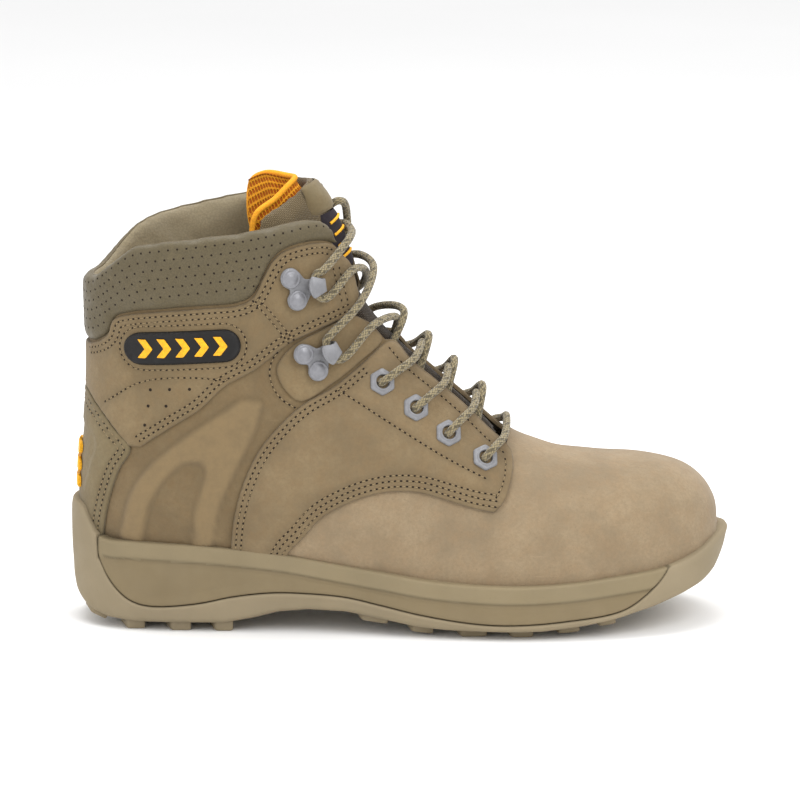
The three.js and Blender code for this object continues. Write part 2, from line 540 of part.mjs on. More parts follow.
function throughEyelet(k, side) {
  const [u, v] = EYELETS[k];
  const arrive = [u - 0.3, along(EDGE_FRACTION, u - 0.3)];
  const leave = [u + 0.3, 0.85 * along(EDGE_FRACTION, u + 0.3)];
  const toward = (target, share, offset) => [THREE.MathUtils.lerp(u, target[0], share),
    side * THREE.MathUtils.lerp(v, target[1], share), offset];
  return [toward(arrive, 1, OVER), toward(arrive, 0.4, 5.9), toward(arrive, 0.05, 4.8), toward(arrive, -0.04, 2.2),
    toward(leave, -0.04, -0.9), toward(leave, 0.03, -3.6), toward(leave, 0.32, UNDER), toward(leave, 1, UNDER)];
}

const HOOK_EDGE = 0.105;
const local = (place, x, y, z) => new THREE.Vector3(x, y, z).applyMatrix4(place);

function aroundHook(k, side) {
  const [u, v] = HOOKS[k];
  const place = placeOnSurface(u, side * v);
  const height = METAL_TOP + GAP + LACE_RADIUS;
  const turn = [[4.8, -6.4, height], [1.2, -5.2, height], [0, 0, height], [1.2, 5.2, height], [4.8, 6.4, height]];
  const path = turn.map(([x, y, z]) => local(place, x, y, z));
  if (path[0].z > path[path.length - 1].z) path.reverse();
  const edge = (shift) => offsetPoint(u + shift, side * HOOK_EDGE, OVER + 0.4);
  return [edge(-0.55), ...path, edge(0.55)];
}

const onSurface = ([u, v, offset]) => offsetPoint(u, v, offset);

// One half of the lace, from the bar at the bottom of the throat to its tail. It starts on the given side.
function halfLace(start, tail, levels) {
  const route = [];
  EYELETS.forEach(([u], k) => {
    const side = k % 2 ? -start : start;
    route.push(...throughEyelet(k, side).map(onSurface));
    route.push(onSurface([u + 0.72, 0, levels[k]]));
  });
  route.push(...aroundHook(0, start));
  route.push(onSurface([14, 0, levels[4]]));
  route.push(...aroundHook(1, -start));
  route.push(...tail.map(onSurface));
  return route;
}

const OUTER_TAIL = [[15.9, -0.08, 4.6], [15.9, 0, 2], [16.15, 0.04, 0.2], [16.25, 0.056, -3.6], [16.25, 0.074, -7.8],
  [16.15, 0.104, -10], [15.7, 0.14, -10], [15, 0.16, -9.6], [14, 0.165, -7.6], [13, 0.168, -6.4], [12.1, 0.19, -5.7],
  [11.2, 0.24, -5.4], [10.6, 0.26, -5.4]];
const OUTER_AGLET = [[10.5, 0.261, -5.4], [9.9, 0.264, -5.4], [9.1, 0.268, -5.4]];
const INNER_TAIL = [[16.4, 0.09, 5.6], [16.95, 0.05, 3.4], [17.1, 0.035, 0.4], [17, 0.055, -3.8], [16.95, 0.074, -8],
  [16.85, 0.106, -10], [16.6, 0.15, -10.1], [16, 0.19, -10.1], [15, 0.215, -9.6], [14.2, 0.22, -7.6],
  [13.4, 0.222, -6.4]];
const INNER_AGLET = [[13.28, 0.224, -6.4], [12.9, 0.225, -6.3], [12.5, 0.227, -6.1]];
const OUTER_LEVELS = [HIGH_CROSSING, LOW_CROSSING, HIGH_CROSSING, LOW_CROSSING, HIGH_CROSSING];
const INNER_LEVELS = [LOW_CROSSING, HIGH_CROSSING, LOW_CROSSING, HIGH_CROSSING, LOW_CROSSING];

function tube(points, radius, sides) {
  const path = new THREE.CatmullRomCurve3(points, false, 'centripetal');
  path.getPointAt = (t) => path.getPoint(t);
  path.getTangentAt = (t) => path.getTangent(t);
  const section = new THREE.Shape(Array.from({ length: sides }, (_, k) => new THREE.Vector2(
    radius * Math.cos(2 * Math.PI * k / sides), radius * Math.sin(2 * Math.PI * k / sides))));
  return new THREE.ExtrudeGeometry(section, { extrudePath: path, steps: points.length - 1 });
}

// The half that starts on the outer side ends at the inner upper hook, and the other one the other way round.
const laceRoute = [
  ...halfLace(SIDES.lateral, INNER_TAIL, OUTER_LEVELS).reverse(),
  onSurface([7.38, 0, 3.4]),
  ...halfLace(SIDES.medial, OUTER_TAIL, INNER_LEVELS),
];
const laceGeometry = tube(laceRoute, LACE_RADIUS, LACE_SIDES);
const laceRoom = solidOf(tube(laceRoute, LACE_RADIUS + GAP, LACE_SIDES));

// ---- Badges ----
const SIDE_BADGE = { x: -99.5, z: 136, halfLength: 26, halfHeight: 7.6, tilt: 0.08, thickness: 1.8 };
const SIDE_BADGE_STEPS = 12;
const HEEL_BADGE = { low: 63, high: 86, halfWidth: 9, thickness: 1.5 };

// A stadium plate on the outer side of the ankle, tilted up towards the front.
function sideBadge() {
  const { x, z, halfLength, halfHeight, tilt, thickness } = SIDE_BADGE;
  const outline = [];
  for (const end of [1, -1]) {
    for (let k = 0; k <= SIDE_BADGE_STEPS; k += 1) {
      const angle = Math.PI * (k / SIDE_BADGE_STEPS - 0.5);
      const dx = end * (halfLength - halfHeight + halfHeight * Math.cos(angle));
      const dz = end * halfHeight * Math.sin(angle);
      outline.push([x + dx - tilt * dz, z + dz + tilt * dx]);
    }
  }
  return shell(METAL_BASE, METAL_BASE + thickness).intersect(prism(outline, -FAR, 0));
}

function heelBadge() {
  const { low, high, halfWidth, thickness } = HEEL_BADGE;
  const plate = [[-160, low], [-130, low], [-130, high], [-160, high]];
  return shell(METAL_BASE, METAL_BASE + thickness).intersect(prism(plate, -halfWidth, halfWidth));
}

// ---- Assembly ----
const boot = new THREE.Group();
boot.name = 'steel_toe_work_boot';

function addPiece(name, shape, look) {
  const geometry = shape instanceof THREE.BufferGeometry ? shape : geometryFrom(shape);
  const mesh = new THREE.Mesh(geometry, look);
  mesh.name = name;
  boot.add(mesh);
}

addPiece('outsole', outsoleSolid, OUTSOLE_RUBBER);
addPiece('midsole', midsoleSolid, MIDSOLE_RUBBER);
addPiece('steel_midsole_plate', plateSolid, STEEL);
addPiece('insole_board', insoleBoardSolid, FIBREBOARD);
addPiece('footbed', footbedSolid, FOAM);
addPiece('steel_toe_cap', stiffenerShell.intersect(prism([...TOE_CAP_EDGE, [FAR, 100], [FAR, 0]])), STEEL);
addPiece('heel_stiffener', stiffenerShell.intersect(prism(STIFFENER_EDGE)), FIBREBOARD);
addPiece('vamp', vampSolid, NUBUCK);
const vampLiningOutline = [[60, 0], [57, 66], [59, 120], [FAR, 120], [FAR, 0]];
addPiece('vamp_lining', liningShell.intersect(prism(vampLiningOutline)), LINING_FABRIC);
const quarterLiningOutline = [...LINING_FRONT, [-160, 190], [-160, 0]];
const belowCollar = prism([...collarUnderside, [-160, 0], [60, 0], [60, 176]]);
addPiece('quarter_lining', liningShell.intersect(prism(quarterLiningOutline)).intersect(belowCollar), LINING_FABRIC);

for (const [sideName, side] of Object.entries(SIDES)) {
  const quarter = bored(leather.intersect(oneSide(quarterOutline, side))).subtract(laceRoom);
  addPiece(`quarter_${sideName}`, quarter, NUBUCK_DARK);
  addPiece(`saddle_${sideName}`, bored(overlay.intersect(oneSide(saddleOutline, side))), NUBUCK);
  addPiece(`ankle_panel_${sideName}`, bored(overlay.intersect(oneSide(ankleOutline, side))), NUBUCK);
  addPiece(`hook_panel_${sideName}`, bored(overlay.intersect(oneSide(HOOK_PANEL, side))), NUBUCK);
}
addPiece('heel_cover', overlay.intersect(prism(HEEL_COVER_FRONT)), NUBUCK_DARK);
addPiece('collar_pad', collarSolid.subtract(laceRoom), COLLAR_LEATHER);

addPiece('tongue', tongueSolid.subtract(laceRoom), WEBBING);
addPiece('tongue_lining', tongueLiningSolid, MESH_ORANGE);
addPiece('tongue_label', labelBand([14.6, 15.4, 16.1, 16.8]), BLACK_RUBBER);
addPiece('tongue_tab', labelBand([17.9, 18.2, 18.5]), NUBUCK_DARK);
addPiece('side_badge', sideBadge(), BLACK_RUBBER);
addPiece('heel_badge', heelBadge(), YELLOW);

for (const [sideName, side] of Object.entries(SIDES)) {
  EYELETS.forEach(([u, v], k) => {
    addPiece(`eyelet_${sideName}_${k + 1}`, eyeletGeometry(placeOnSurface(u, side * v)), GREY_METAL);
  });
  HOOKS.forEach(([u, v], k) => {
    const place = placeOnSurface(u, side * v);
    const level = k ? 'upper' : 'lower';
    addPiece(`lace_hook_${sideName}_${level}`, hookGeometry(place), GREY_METAL);
    RIVET_PLACES.forEach(([x, y], r) => {
      addPiece(`hook_rivet_${sideName}_${level}_${r + 1}`, rivetGeometry(place, x, y), GREY_METAL);
    });
  });
}

addPiece('lace', geometryFrom(solidOf(laceGeometry)), LACE_BROWN);
addPiece('aglet_outer_tail', tube(OUTER_AGLET.map(onSurface), 1.7, 8), CLEAR_PLASTIC);
addPiece('aglet_inner_tail', tube(INNER_AGLET.map(onSurface), 1.7, 8), CLEAR_PLASTIC);

export default boot;
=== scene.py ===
"""Steel toe work boot: the looks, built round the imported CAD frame.

Lengths are in millimetres and turned into metres where a mesh is made. The upper is one surface of rings and
fractions, the same as the CAD part's: ring 0 is the toe tip and ring 20 is above the collar, and the fraction
runs from -1 (outer side, underneath) over 0 (the instep ridge) to 1. Panels are drawn in side view.
"""
import json
import math

import bpy
import numpy as np
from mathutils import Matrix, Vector
from mathutils.bvhtree import BVHTree
from mathutils.geometry import delaunay_2d_cdt
from mathutils.kdtree import KDTree

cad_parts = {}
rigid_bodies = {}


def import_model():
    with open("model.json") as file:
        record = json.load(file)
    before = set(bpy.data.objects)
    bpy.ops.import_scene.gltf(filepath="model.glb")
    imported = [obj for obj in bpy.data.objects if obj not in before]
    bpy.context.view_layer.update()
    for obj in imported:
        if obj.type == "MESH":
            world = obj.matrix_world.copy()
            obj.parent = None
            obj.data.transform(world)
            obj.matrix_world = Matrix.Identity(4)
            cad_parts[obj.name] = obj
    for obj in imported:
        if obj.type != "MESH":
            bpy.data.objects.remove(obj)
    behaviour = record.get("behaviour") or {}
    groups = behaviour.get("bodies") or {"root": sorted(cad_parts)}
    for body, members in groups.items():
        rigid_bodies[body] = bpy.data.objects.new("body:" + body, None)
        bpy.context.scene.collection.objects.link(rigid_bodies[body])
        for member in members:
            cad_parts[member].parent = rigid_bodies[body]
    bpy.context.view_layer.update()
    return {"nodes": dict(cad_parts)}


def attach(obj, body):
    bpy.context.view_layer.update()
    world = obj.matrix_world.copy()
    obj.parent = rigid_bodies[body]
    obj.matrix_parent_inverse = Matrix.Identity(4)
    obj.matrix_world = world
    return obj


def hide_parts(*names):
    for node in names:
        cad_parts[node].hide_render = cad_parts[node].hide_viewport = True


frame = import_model()
MM = 0.001
BOOT = "boot"
TONGUE = "tongue_flap"
SIDES = {"lateral": -1, "medial": 1}

# ---- Camera: level with the boot's side, a little above it ----
CAMERA_DISTANCE = 2000
CAMERA_ELEVATION = math.radians(12)
AIM_HEIGHT = 103.3
VIEW_WIDTH = 376
SENSOR = 36


def make_camera():
    data = bpy.data.cameras.new("camera")
    data.sensor_width = SENSOR
    data.lens = SENSOR * CAMERA_DISTANCE / VIEW_WIDTH
    data.clip_end = 10
    camera = bpy.data.objects.new("camera", data)
    back = CAMERA_DISTANCE * MM * math.cos(CAMERA_ELEVATION)
    up = CAMERA_DISTANCE * MM * math.sin(CAMERA_ELEVATION)
    camera.location = (0, -back, AIM_HEIGHT * MM + up)
    camera.rotation_euler = (math.pi / 2 - CAMERA_ELEVATION, 0, 0)
    bpy.context.scene.collection.objects.link(camera)
    bpy.context.scene.camera = camera


make_camera()

# ---- The upper's surface ----
# top x, top z, bottom x, bottom z, half width, centre y, widest at, top roundness, bottom roundness
RINGS = np.array([
    [150, 46, 150, 39, 4, 5, 0.6, 2.2, 3],
    [148.5, 56, 148, 28, 15.5, 4.8, 0.62, 2.3, 3.4],
    [142, 66, 141, 21.5, 25, 4.5, 0.66, 2.4, 3.8],
    [131, 73, 129, 17.5, 34, 4, 0.7, 2.4, 4],
    [113, 77.2, 111, 15.5, 42, 2.8, 0.74, 2.3, 4],
    [92, 78.5, 88, 13.5, 47, 1.5, 0.76, 2.2, 4],
    [71, 81.5, 63, 12.5, 48.5, 0.5, 0.78, 2.1, 4],
    [53, 89, 36, 13, 46.8, -0.7, 0.8, 2, 4],
    [40, 101, 8, 15.5, 43, -1, 0.78, 2, 4],
    [27, 113, -22, 19.5, 40, -0.5, 0.74, 2, 4],
    [15, 124.5, -57, 24, 38.5, 0, 0.66, 2, 3.6],
    [3, 136, -94, 26.5, 38, 0, 0.58, 2, 3.2],
    [-7, 146.5, -126, 28.5, 38.5, 0, 0.52, 2.1, 2.9],
    [-13.5, 156, -144.5, 40, 39, 0, 0.47, 2.2, 2.6],
    [-18, 165, -149, 58, 39, 0, 0.43, 2.2, 2.4],
    [-21.5, 174.5, -148.5, 78, 38.5, 0, 0.41, 2.2, 2.3],
    [-25, 185, -146.5, 100, 38, 0, 0.4, 2.2, 2.2],
    [-29, 196, -145.5, 122, 38.5, 0, 0.4, 2.2, 2.1],
    [-33, 207, -145.5, 145, 39.5, 0, 0.41, 2.2, 2.1],
    [-37, 218, -146, 168, 41, 0, 0.42, 2.2, 2.1],
    [-41, 229, -146.5, 191, 42.5, 0, 0.43, 2.2, 2.1],
])
LAST_RING = len(RINGS) - 1
TABLE_STEP = 0.05
ARC_STEPS = 240


def ring_values(u):
    """The ring table at any ring number, by Catmull-Rom."""
    u = np.clip(np.asarray(u, float), 0, LAST_RING)
    i = np.minimum(u.astype(int), LAST_RING - 1)
    f = (u - i)[:, None]
    b, c = RINGS[i], RINGS[i + 1]
    a = np.where((i > 0)[:, None], RINGS[np.maximum(i - 1, 0)], 2 * b - c)
    d = np.where((i + 2 <= LAST_RING)[:, None], RINGS[np.minimum(i + 2, LAST_RING)], 2 * c - b)
    return 0.5 * (2 * b + (c - a) * f + (2 * a - 5 * b + 4 * c - d) * f ** 2
                  + (3 * b - a - 3 * c + d) * f ** 3)


def surface_table():
    """Half rings (x, half width, z) on an even grid of ring number and fraction, and each ring's centre y."""
    rings = ring_values(np.arange(0, LAST_RING + TABLE_STEP / 2, TABLE_STEP))
    top_x, top_z, low_x, low_z, half, centre, widest, top_power, low_power = (c[:, None] for c in rings.T)
    angle = np.linspace(0, math.pi, 181)[None, :]
    cos = np.cos(angle)
    upper = cos > 0
    power = 2 / np.where(upper, top_power, low_power)
    reach = np.abs(cos) ** power
    t = np.where(upper, widest * (1 - reach), widest + (1 - widest) * reach)
    width = half * np.abs(np.sin(angle)) ** power
    points = np.stack([top_x + (low_x - top_x) * t, width, top_z + (low_z - top_z) * t], -1)
    steps = np.linalg.norm(np.diff(points, axis=1), axis=2)
    distance = np.concatenate([np.zeros((len(rings), 1)), np.cumsum(steps, 1)], 1)
    even = np.linspace(0, 1, ARC_STEPS + 1)
    table = np.zeros((len(rings), ARC_STEPS + 1, 3))
    for k in range(len(rings)):
        for axis in range(3):
            table[k, :, axis] = np.interp(even * distance[k, -1], distance[k], points[k, :, axis])
    return table, centre[:, 0]


TABLE, CENTRES = surface_table()


def surface(u, v):
    """Points of the upper's surface."""
    u = np.clip(np.asarray(u, float), 0, LAST_RING)
    v = (np.asarray(v, float) + 1) % 2 - 1
    row = np.minimum((u / TABLE_STEP).astype(int), len(TABLE) - 2)
    f = u / TABLE_STEP - row
    column = np.minimum((np.abs(v) * ARC_STEPS).astype(int), ARC_STEPS - 1)
    g = np.abs(v) * ARC_STEPS - column
    f, g = f[..., None], g[..., None]
    half = ((TABLE[row, column] * (1 - g) + TABLE[row, column + 1] * g) * (1 - f)
            + (TABLE[row + 1, column] * (1 - g) + TABLE[row + 1, column + 1] * g) * f)
    centre = CENTRES[row] * (1 - f[..., 0]) + CENTRES[row + 1] * f[..., 0]
    half[..., 1] = centre + np.where(v < 0, -1, 1) * half[..., 1]
    return half


def unit(vectors):
    return vectors / np.maximum(np.linalg.norm(vectors, axis=-1, keepdims=True), 1e-9)


def turns(count):
    """Angles of the corners of a round section."""
    return np.arange(count) * 2 * math.pi / count


def lengths_along(line):
    """Distance along a line to each of its points."""
    return np.concatenate([[0], np.cumsum(np.linalg.norm(np.diff(line, axis=0), axis=1))])


def surface_frame(u, v):
    """Origin, direction to higher rings, direction to higher fractions, and outward normal."""
    u, v = np.asarray(u, float), np.asarray(v, float)
    ahead = unit(surface(np.minimum(u + 0.05, LAST_RING), v) - surface(np.maximum(u - 0.05, 0), v))
    across = unit(surface(u, v + 0.02) - surface(u, v - 0.02))
    return surface(u, v), ahead, across, unit(np.cross(across, ahead))


def offset_points(u, v, offset):
    origin, _, _, normal = surface_frame(u, v)
    return origin + normal * np.broadcast_to(np.asarray(offset, float), np.shape(origin)[:-1])[..., None]


TABLE_RINGS = np.arange(len(TABLE)) * TABLE_STEP
GRID_U, GRID_A = np.meshgrid(TABLE_RINGS, np.linspace(0, 1, ARC_STEPS + 1), indexing="ij")
SIDE_X, SIDE_Z = TABLE[..., 0].ravel(), TABLE[..., 2].ravel()


def from_side(points):
    """Ring number and fraction (0 to 1) of side-view points, the nearest ones where they lie outside."""
    found = []
    for x, z in points:
        k = int(np.argmin((SIDE_X - x) ** 2 + (SIDE_Z - z) ** 2))
        found.append((GRID_U.ravel()[k], GRID_A.ravel()[k]))
    uv = np.array(found)
    for _ in range(4):
        here = surface(uv[:, 0], uv[:, 1])[:, [0, 2]]
        step_u = (surface(uv[:, 0] + 0.02, uv[:, 1])[:, [0, 2]] - here) / 0.02
        step_v = (surface(uv[:, 0], np.minimum(uv[:, 1] + 0.003, 1))[:, [0, 2]] - here) / 0.003
        miss = np.asarray(points, float) - here
        det = step_u[:, 0] * step_v[:, 1] - step_u[:, 1] * step_v[:, 0]
        safe = np.abs(det) > 20
        det = np.where(safe, det, 1)
        du = (miss[:, 0] * step_v[:, 1] - miss[:, 1] * step_v[:, 0]) / det
        dv = (step_u[:, 0] * miss[:, 1] - step_u[:, 1] * miss[:, 0]) / det
        uv[:, 0] = np.clip(uv[:, 0] + np.where(safe, np.clip(du, -0.2, 0.2), 0), 0, LAST_RING)
        uv[:, 1] = np.clip(uv[:, 1] + np.where(safe, np.clip(dv, -0.03, 0.03), 0), 0.0005, 0.9995)
    return uv


# ---- Curves in side view ----
def resample(points, spacing):
    points = np.asarray(points, float)
    distance = lengths_along(points)
    count = max(2, int(round(distance[-1] / spacing)) + 1)
    even = np.linspace(0, distance[-1], count)
    return np.stack([np.interp(even, distance, points[:, k]) for k in range(points.shape[1])], 1)


def smooth(points, spacing=1.2, closed=False):
    """Centripetal Catmull-Rom through the points, evenly resampled."""
    p = np.asarray(points, float)
    if len(p) < 3:
        return resample(p, spacing)
    if closed:
        p = np.vstack([p[-1], p, p[0], p[1]])
    else:
        p = np.vstack([2 * p[0] - p[1], p, 2 * p[-1] - p[-2]])
    made = []
    for a, b, c, d in zip(p, p[1:], p[2:], p[3:]):
        t0 = 0
        t1 = t0 + max(np.linalg.norm(b - a), 1e-6) ** 0.5
        t2 = t1 + max(np.linalg.norm(c - b), 1e-6) ** 0.5
        t3 = t2 + max(np.linalg.norm(d - c), 1e-6) ** 0.5
        t = np.linspace(t1, t2, 13)[:-1, None]
        a1 = (t1 - t) / (t1 - t0) * a + (t - t0) / (t1 - t0) * b
        a2 = (t2 - t) / (t2 - t1) * b + (t - t1) / (t2 - t1) * c
        a3 = (t3 - t) / (t3 - t2) * c + (t - t2) / (t3 - t2) * d
        b1 = (t2 - t) / (t2 - t0) * a1 + (t - t0) / (t2 - t0) * a2
        b2 = (t3 - t) / (t3 - t1) * a2 + (t - t1) / (t3 - t1) * a3
        made.append((t2 - t) / (t2 - t1) * b1 + (t - t1) / (t2 - t1) * b2)
    made.append(p[-2][None, :])
    return resample(np.vstack(made), spacing)


def shifted(line, distance):
    """The line moved sideways: to the left of its direction for a positive distance. Folds are cut out."""
    line = np.asarray(line, float)
    along = unit(np.gradient(line, axis=0))
    moved = line + np.stack([-along[:, 1], along[:, 0]], 1) * distance
    far = np.min(np.linalg.norm(moved[:, None, :] - line[None, :, :], axis=2), axis=1) > abs(distance) * 0.93
    return moved[far]


def outline_of(*curves):
    """One closed outline from curves that meet at corners."""
    points = np.vstack(curves)
    keep = [0]
    for k in range(1, len(points)):
        if np.linalg.norm(points[k] - points[keep[-1]]) > 0.4:
            keep.append(k)
    if np.linalg.norm(points[keep[-1]] - points[0]) < 0.4:
        keep.pop()
    return points[keep]


def inside(points, outline):
    x, z = points[:, 0], points[:, 1]
    found = np.zeros(len(points), bool)
    for (ax, az), (bx, bz) in zip(outline, np.roll(outline, -1, axis=0)):
        if az == bz:
            continue
        crosses = (az > z) != (bz > z)
        found ^= crosses & (x < (bx - ax) * (z - az) / (bz - az) + ax)
    return found


def distance_to(points, line):
    """Distance from each point to the nearest point of a densely sampled line."""
    line = np.asarray(line, float)
    tree = KDTree(len(line))
    flat = line if line.shape[1] == 3 else np.c_[line, np.zeros(len(line))]
    for k, p in enumerate(flat):
        tree.insert(p, k)
    tree.balance()
    points = points if points.shape[1] == 3 else np.c_[points, np.zeros(len(points))]
    return np.array([tree.find(p)[2] for p in points])


def ease(x):
    x = np.clip(x, 0, 1)
    return x * x * (3 - 2 * x)


def ring_at(curve, fraction):
    """Ring number of an unrolled curve at given fractions."""
    order = np.argsort(curve[:, 1])
    return np.interp(fraction, curve[order, 1], curve[order, 0])


# ---- Materials: sizes in millimetres ----
THROAT_SHADE = (172 * MM, 192 * MM)    # heights between which the cloth changes from its low colour; that darker low colour is partly the cloth's own and partly painted shade in the throat
DUSTY = 14 * MM                        # height up to which rubber is dirty


class Look:
    """A procedural material: constants on the shader's own sockets, and textures in the object's frame."""

    def __init__(self, name, roughness=0.8, metallic=0.0, sheen=0.0, coat=0.0, specular=0.5):
        self.material = bpy.data.materials.new(name)
        self.material.use_nodes = True
        self.tree = self.material.node_tree
        self.shader = self.tree.nodes["Principled BSDF"]
        constants = {"Roughness": roughness, "Metallic": metallic, "Sheen Weight": sheen, "Coat Weight": coat,
                     "Specular IOR Level": specular}
        for socket, value in constants.items():
            self.shader.inputs[socket].default_value = value
        self.place = self.tree.nodes.new("ShaderNodeTexCoord").outputs["Object"]

    def node(self, kind, values=(), **settings):
        made = self.tree.nodes.new(kind)
        for key, value in settings.items():
            setattr(made, key, value)
        for key, value in dict(values).items():
            if isinstance(value, bpy.types.NodeSocket):
                self.tree.links.new(value, made.inputs[key])
            else:
                made.inputs[key].default_value = value
        return made

    def stretched(self, scale):
        """Coordinates in millimetres, divided by the given feature size along each axis."""
        values = {"Vector": self.place, "Scale": [1 / (MM * s) for s in scale]}
        return self.node("ShaderNodeMapping", values).outputs["Vector"]

    def noise(self, size, detail=3, rough=0.55, place=None):
        values = {"Vector": place or self.stretched([size] * 3), "Scale": 1, "Detail": detail,
                  "Roughness": rough}
        return self.node("ShaderNodeTexNoise", values).outputs["Fac"]

    def cells(self, size, feature="F1", output="Distance", place=None):
        values = {"Vector": place or self.stretched([size] * 3), "Scale": 1}
        return self.node("ShaderNodeTexVoronoi", values, feature=feature).outputs[output]

    def attribute(self, name, output="Fac"):
        return self.node("ShaderNodeAttribute", attribute_name=name).outputs[output]

    def maths(self, operation, *values):
        return self.node("ShaderNodeMath", dict(enumerate(values)), operation=operation).outputs[0]

    def times(self, a, b):
        return self.maths("MULTIPLY", a, b)

    def cloth_map(self):
        """The two outputs of the UV map "cloth", then zero."""
        place = self.node("ShaderNodeUVMap", uv_map="cloth").outputs[0]
        return self.node("ShaderNodeSeparateXYZ", {0: place}).outputs

    def height(self):
        return self.node("ShaderNodeSeparateXYZ", {0: self.place}).outputs[2]

    def mottled(self, size, detail, rough, colour, low, high):
        """The colour, darker and lighter by the two shares, in clouds of a size."""
        cloud = self.steps(self.noise(size, detail, rough), 0.3, 0.7)
        return self.mix(cloud, scaled(colour, low), scaled(colour, high))

    def finish(self, base, low, high, size, detail=3):
        """Sets the base colour, and a roughness that wanders between two values."""
        self.tree.links.new(base, self.shader.inputs["Base Color"])
        rough = self.steps(self.noise(size, detail), 0.3, 0.7, low, high)
        self.tree.links.new(rough, self.shader.inputs["Roughness"])

    def steps(self, factor, low, high, from_value=0.0, to_value=1.0):
        values = {"Value": factor, "From Min": low, "From Max": high, "To Min": from_value,
                  "To Max": to_value}
        return self.node("ShaderNodeMapRange", values, interpolation_type="SMOOTHSTEP").outputs[0]

    def mix(self, factor, a, b, blend="MIX"):
        made = self.node("ShaderNodeMix", data_type="RGBA", blend_type=blend)
        for index, value in ((0, factor), (6, a), (7, b)):
            if isinstance(value, bpy.types.NodeSocket):
                self.tree.links.new(value, made.inputs[index])
            else:
                made.inputs[index].default_value = value
        return made.outputs[2]

    def colour(self, socket):
        self.tree.links.new(socket, self.shader.inputs["Base Color"])

    def rough(self, socket):
        self.tree.links.new(socket, self.shader.inputs["Roughness"])

    def bump(self, *layers):
        """Each layer is (height socket, depth in millimetres)."""
        normal = None
        for height, depth in layers:
            values = {"Height": height, "Distance": depth * MM, "Strength": 1.0}
            if normal is not None:
                values["Normal"] = normal
            normal = self.node("ShaderNodeBump", values).outputs["Normal"]
        self.tree.links.new(normal, self.shader.inputs["Normal"])


def tone(red, green, blue, alpha=1.0):
    """A display colour, 0 to 255, as the linear colour that a shader takes."""
    def linear(c):
        c = c / 255
        return c / 12.92 if c <= 0.04045 else ((c + 0.055) / 1.055) ** 2.4
    return (linear(red), linear(green), linear(blue), alpha)


def scaled(colour, share):
    return tuple(c * share for c in colour[:3]) + (1.0,)


def nubuck(name, colour):
    """Buffed leather: cloudy, with a short nap and fine pores, paler where it is worn, darker at its rim
    (partly the cut edge's own colour, partly painted shade), and with painted shade along its stitch grooves
    and creases.
    """
    look = Look(name, sheen=0.12, specular=0.2)
    look.shader.inputs["Sheen Roughness"].default_value = 0.6
    warm = (colour[0] * 1.02, colour[1] * 0.93, colour[2] * 0.86, 1.0)
    base = look.mottled(30, 5, 0.62, colour, 0.84, 1.18)
    nap = look.noise(6.5, 6, 0.7)
    base = look.mix(look.steps(nap, 0.36, 0.7, 0.0, 0.5), base, warm)
    grain = look.steps(look.noise(1.6, 4, 0.75), 0.35, 0.65, 0.0, 0.34)
    base = look.mix(grain, base, scaled(colour, 0.74))
    speck = look.steps(look.noise(0.8, 2), 0.64, 0.8, 0.0, 0.35)
    base = look.mix(speck, base, scaled(colour, 0.55))
    scuff = look.steps(look.noise(1, 4, 0.65, look.stretched([26, 26, 1.6])), 0.66, 0.76, 0.0, 0.3)
    base = look.mix(scuff, base, scaled(colour, 1.5))
    worn = look.times(look.attribute("worn"), look.steps(nap, 0.2, 0.7, 0.35, 0.75))
    base = look.mix(worn, base, scaled(colour, 1.42))
    # Darker at the rim: partly the cut edge's own colour, partly painted shade along the panel's edge.
    base = look.mix(look.times(look.attribute("rim"), 0.55), base, scaled(colour, 0.36))
    # Painted shade along the stitch rows and the emboss crease lines.
    base = look.mix(look.times(look.attribute("groove_shade"), 0.4), base, scaled(colour, 0.42))
    look.colour(base)
    look.rough(look.steps(nap, 0.3, 0.7, 0.82, 0.96))
    look.bump((look.noise(0.55, 3, 0.7), 0.08), (look.cells(1.5), 0.06), (look.noise(4, 5, 0.65), 0.2))
    return look.material


def smooth_leather(name, colour):
    """Soft lining leather with a fine pebbled grain and a slight shine."""
    look = Look(name, specular=0.4, sheen=0.08)
    base = look.mottled(22, 4, 0.6, colour, 0.86, 1.14)
    pore = look.cells(0.9)
    base = look.mix(look.steps(pore, 0.3, 0.75, 0.28, 0.0), scaled(colour, 0.6), base)
    worn = look.steps(look.noise(9, 5, 0.7), 0.6, 0.76, 0.0, 0.25)
    look.finish(look.mix(worn, base, scaled(colour, 1.5)), 0.5, 0.68, 7)
    look.bump((pore, 0.07), (look.noise(3.5, 4, 0.6), 0.12))
    return look.material


def woven(name, colour, low_colour, rib=1.5, contrast=0.55, sheen=0.2):
    """A ribbed woven cloth, darker low in the throat, partly its own darker colour and partly painted shade.
    Its mesh has the UV map "cloth", in millimetres.
    """
    look = Look(name, roughness=0.92, sheen=sheen, specular=0.2)
    body = look.mix(look.steps(look.height(), *THROAT_SHADE), low_colour, colour)
    x, y, _ = look.cloth_map()
    wobble = look.steps(look.noise(5, 3), 0.2, 0.8, -0.18, 0.18)
    across = look.maths("ADD", look.times(x, 2 * math.pi / rib), wobble)
    wave = look.maths("SINE", across)
    down = look.times(y, 2 * math.pi / (rib * 0.62))
    alternate = look.maths("ADD", down, look.times(look.maths("SIGN", wave), 1.57))
    knots = look.maths("ADD", look.times(look.maths("SINE", alternate), 0.35), 0.65)
    weave = look.times(look.maths("ABSOLUTE", wave), knots)
    # Painted shade in the valleys between the ribs, darker by the contrast share.
    shade_colour = look.mix(contrast, body, (0, 0, 0, 1))
    shade = look.mix(look.steps(weave, 0.05, 0.75), shade_colour, body)
    fleck = look.steps(look.noise(1.3, 3, 0.7), 0.55, 0.75, 0.0, 0.2)
    look.colour(look.mix(fleck, shade, scaled(colour, 1.55)))
    look.bump((weave, 0.35), (look.noise(0.4, 2), 0.05))
    return look.material


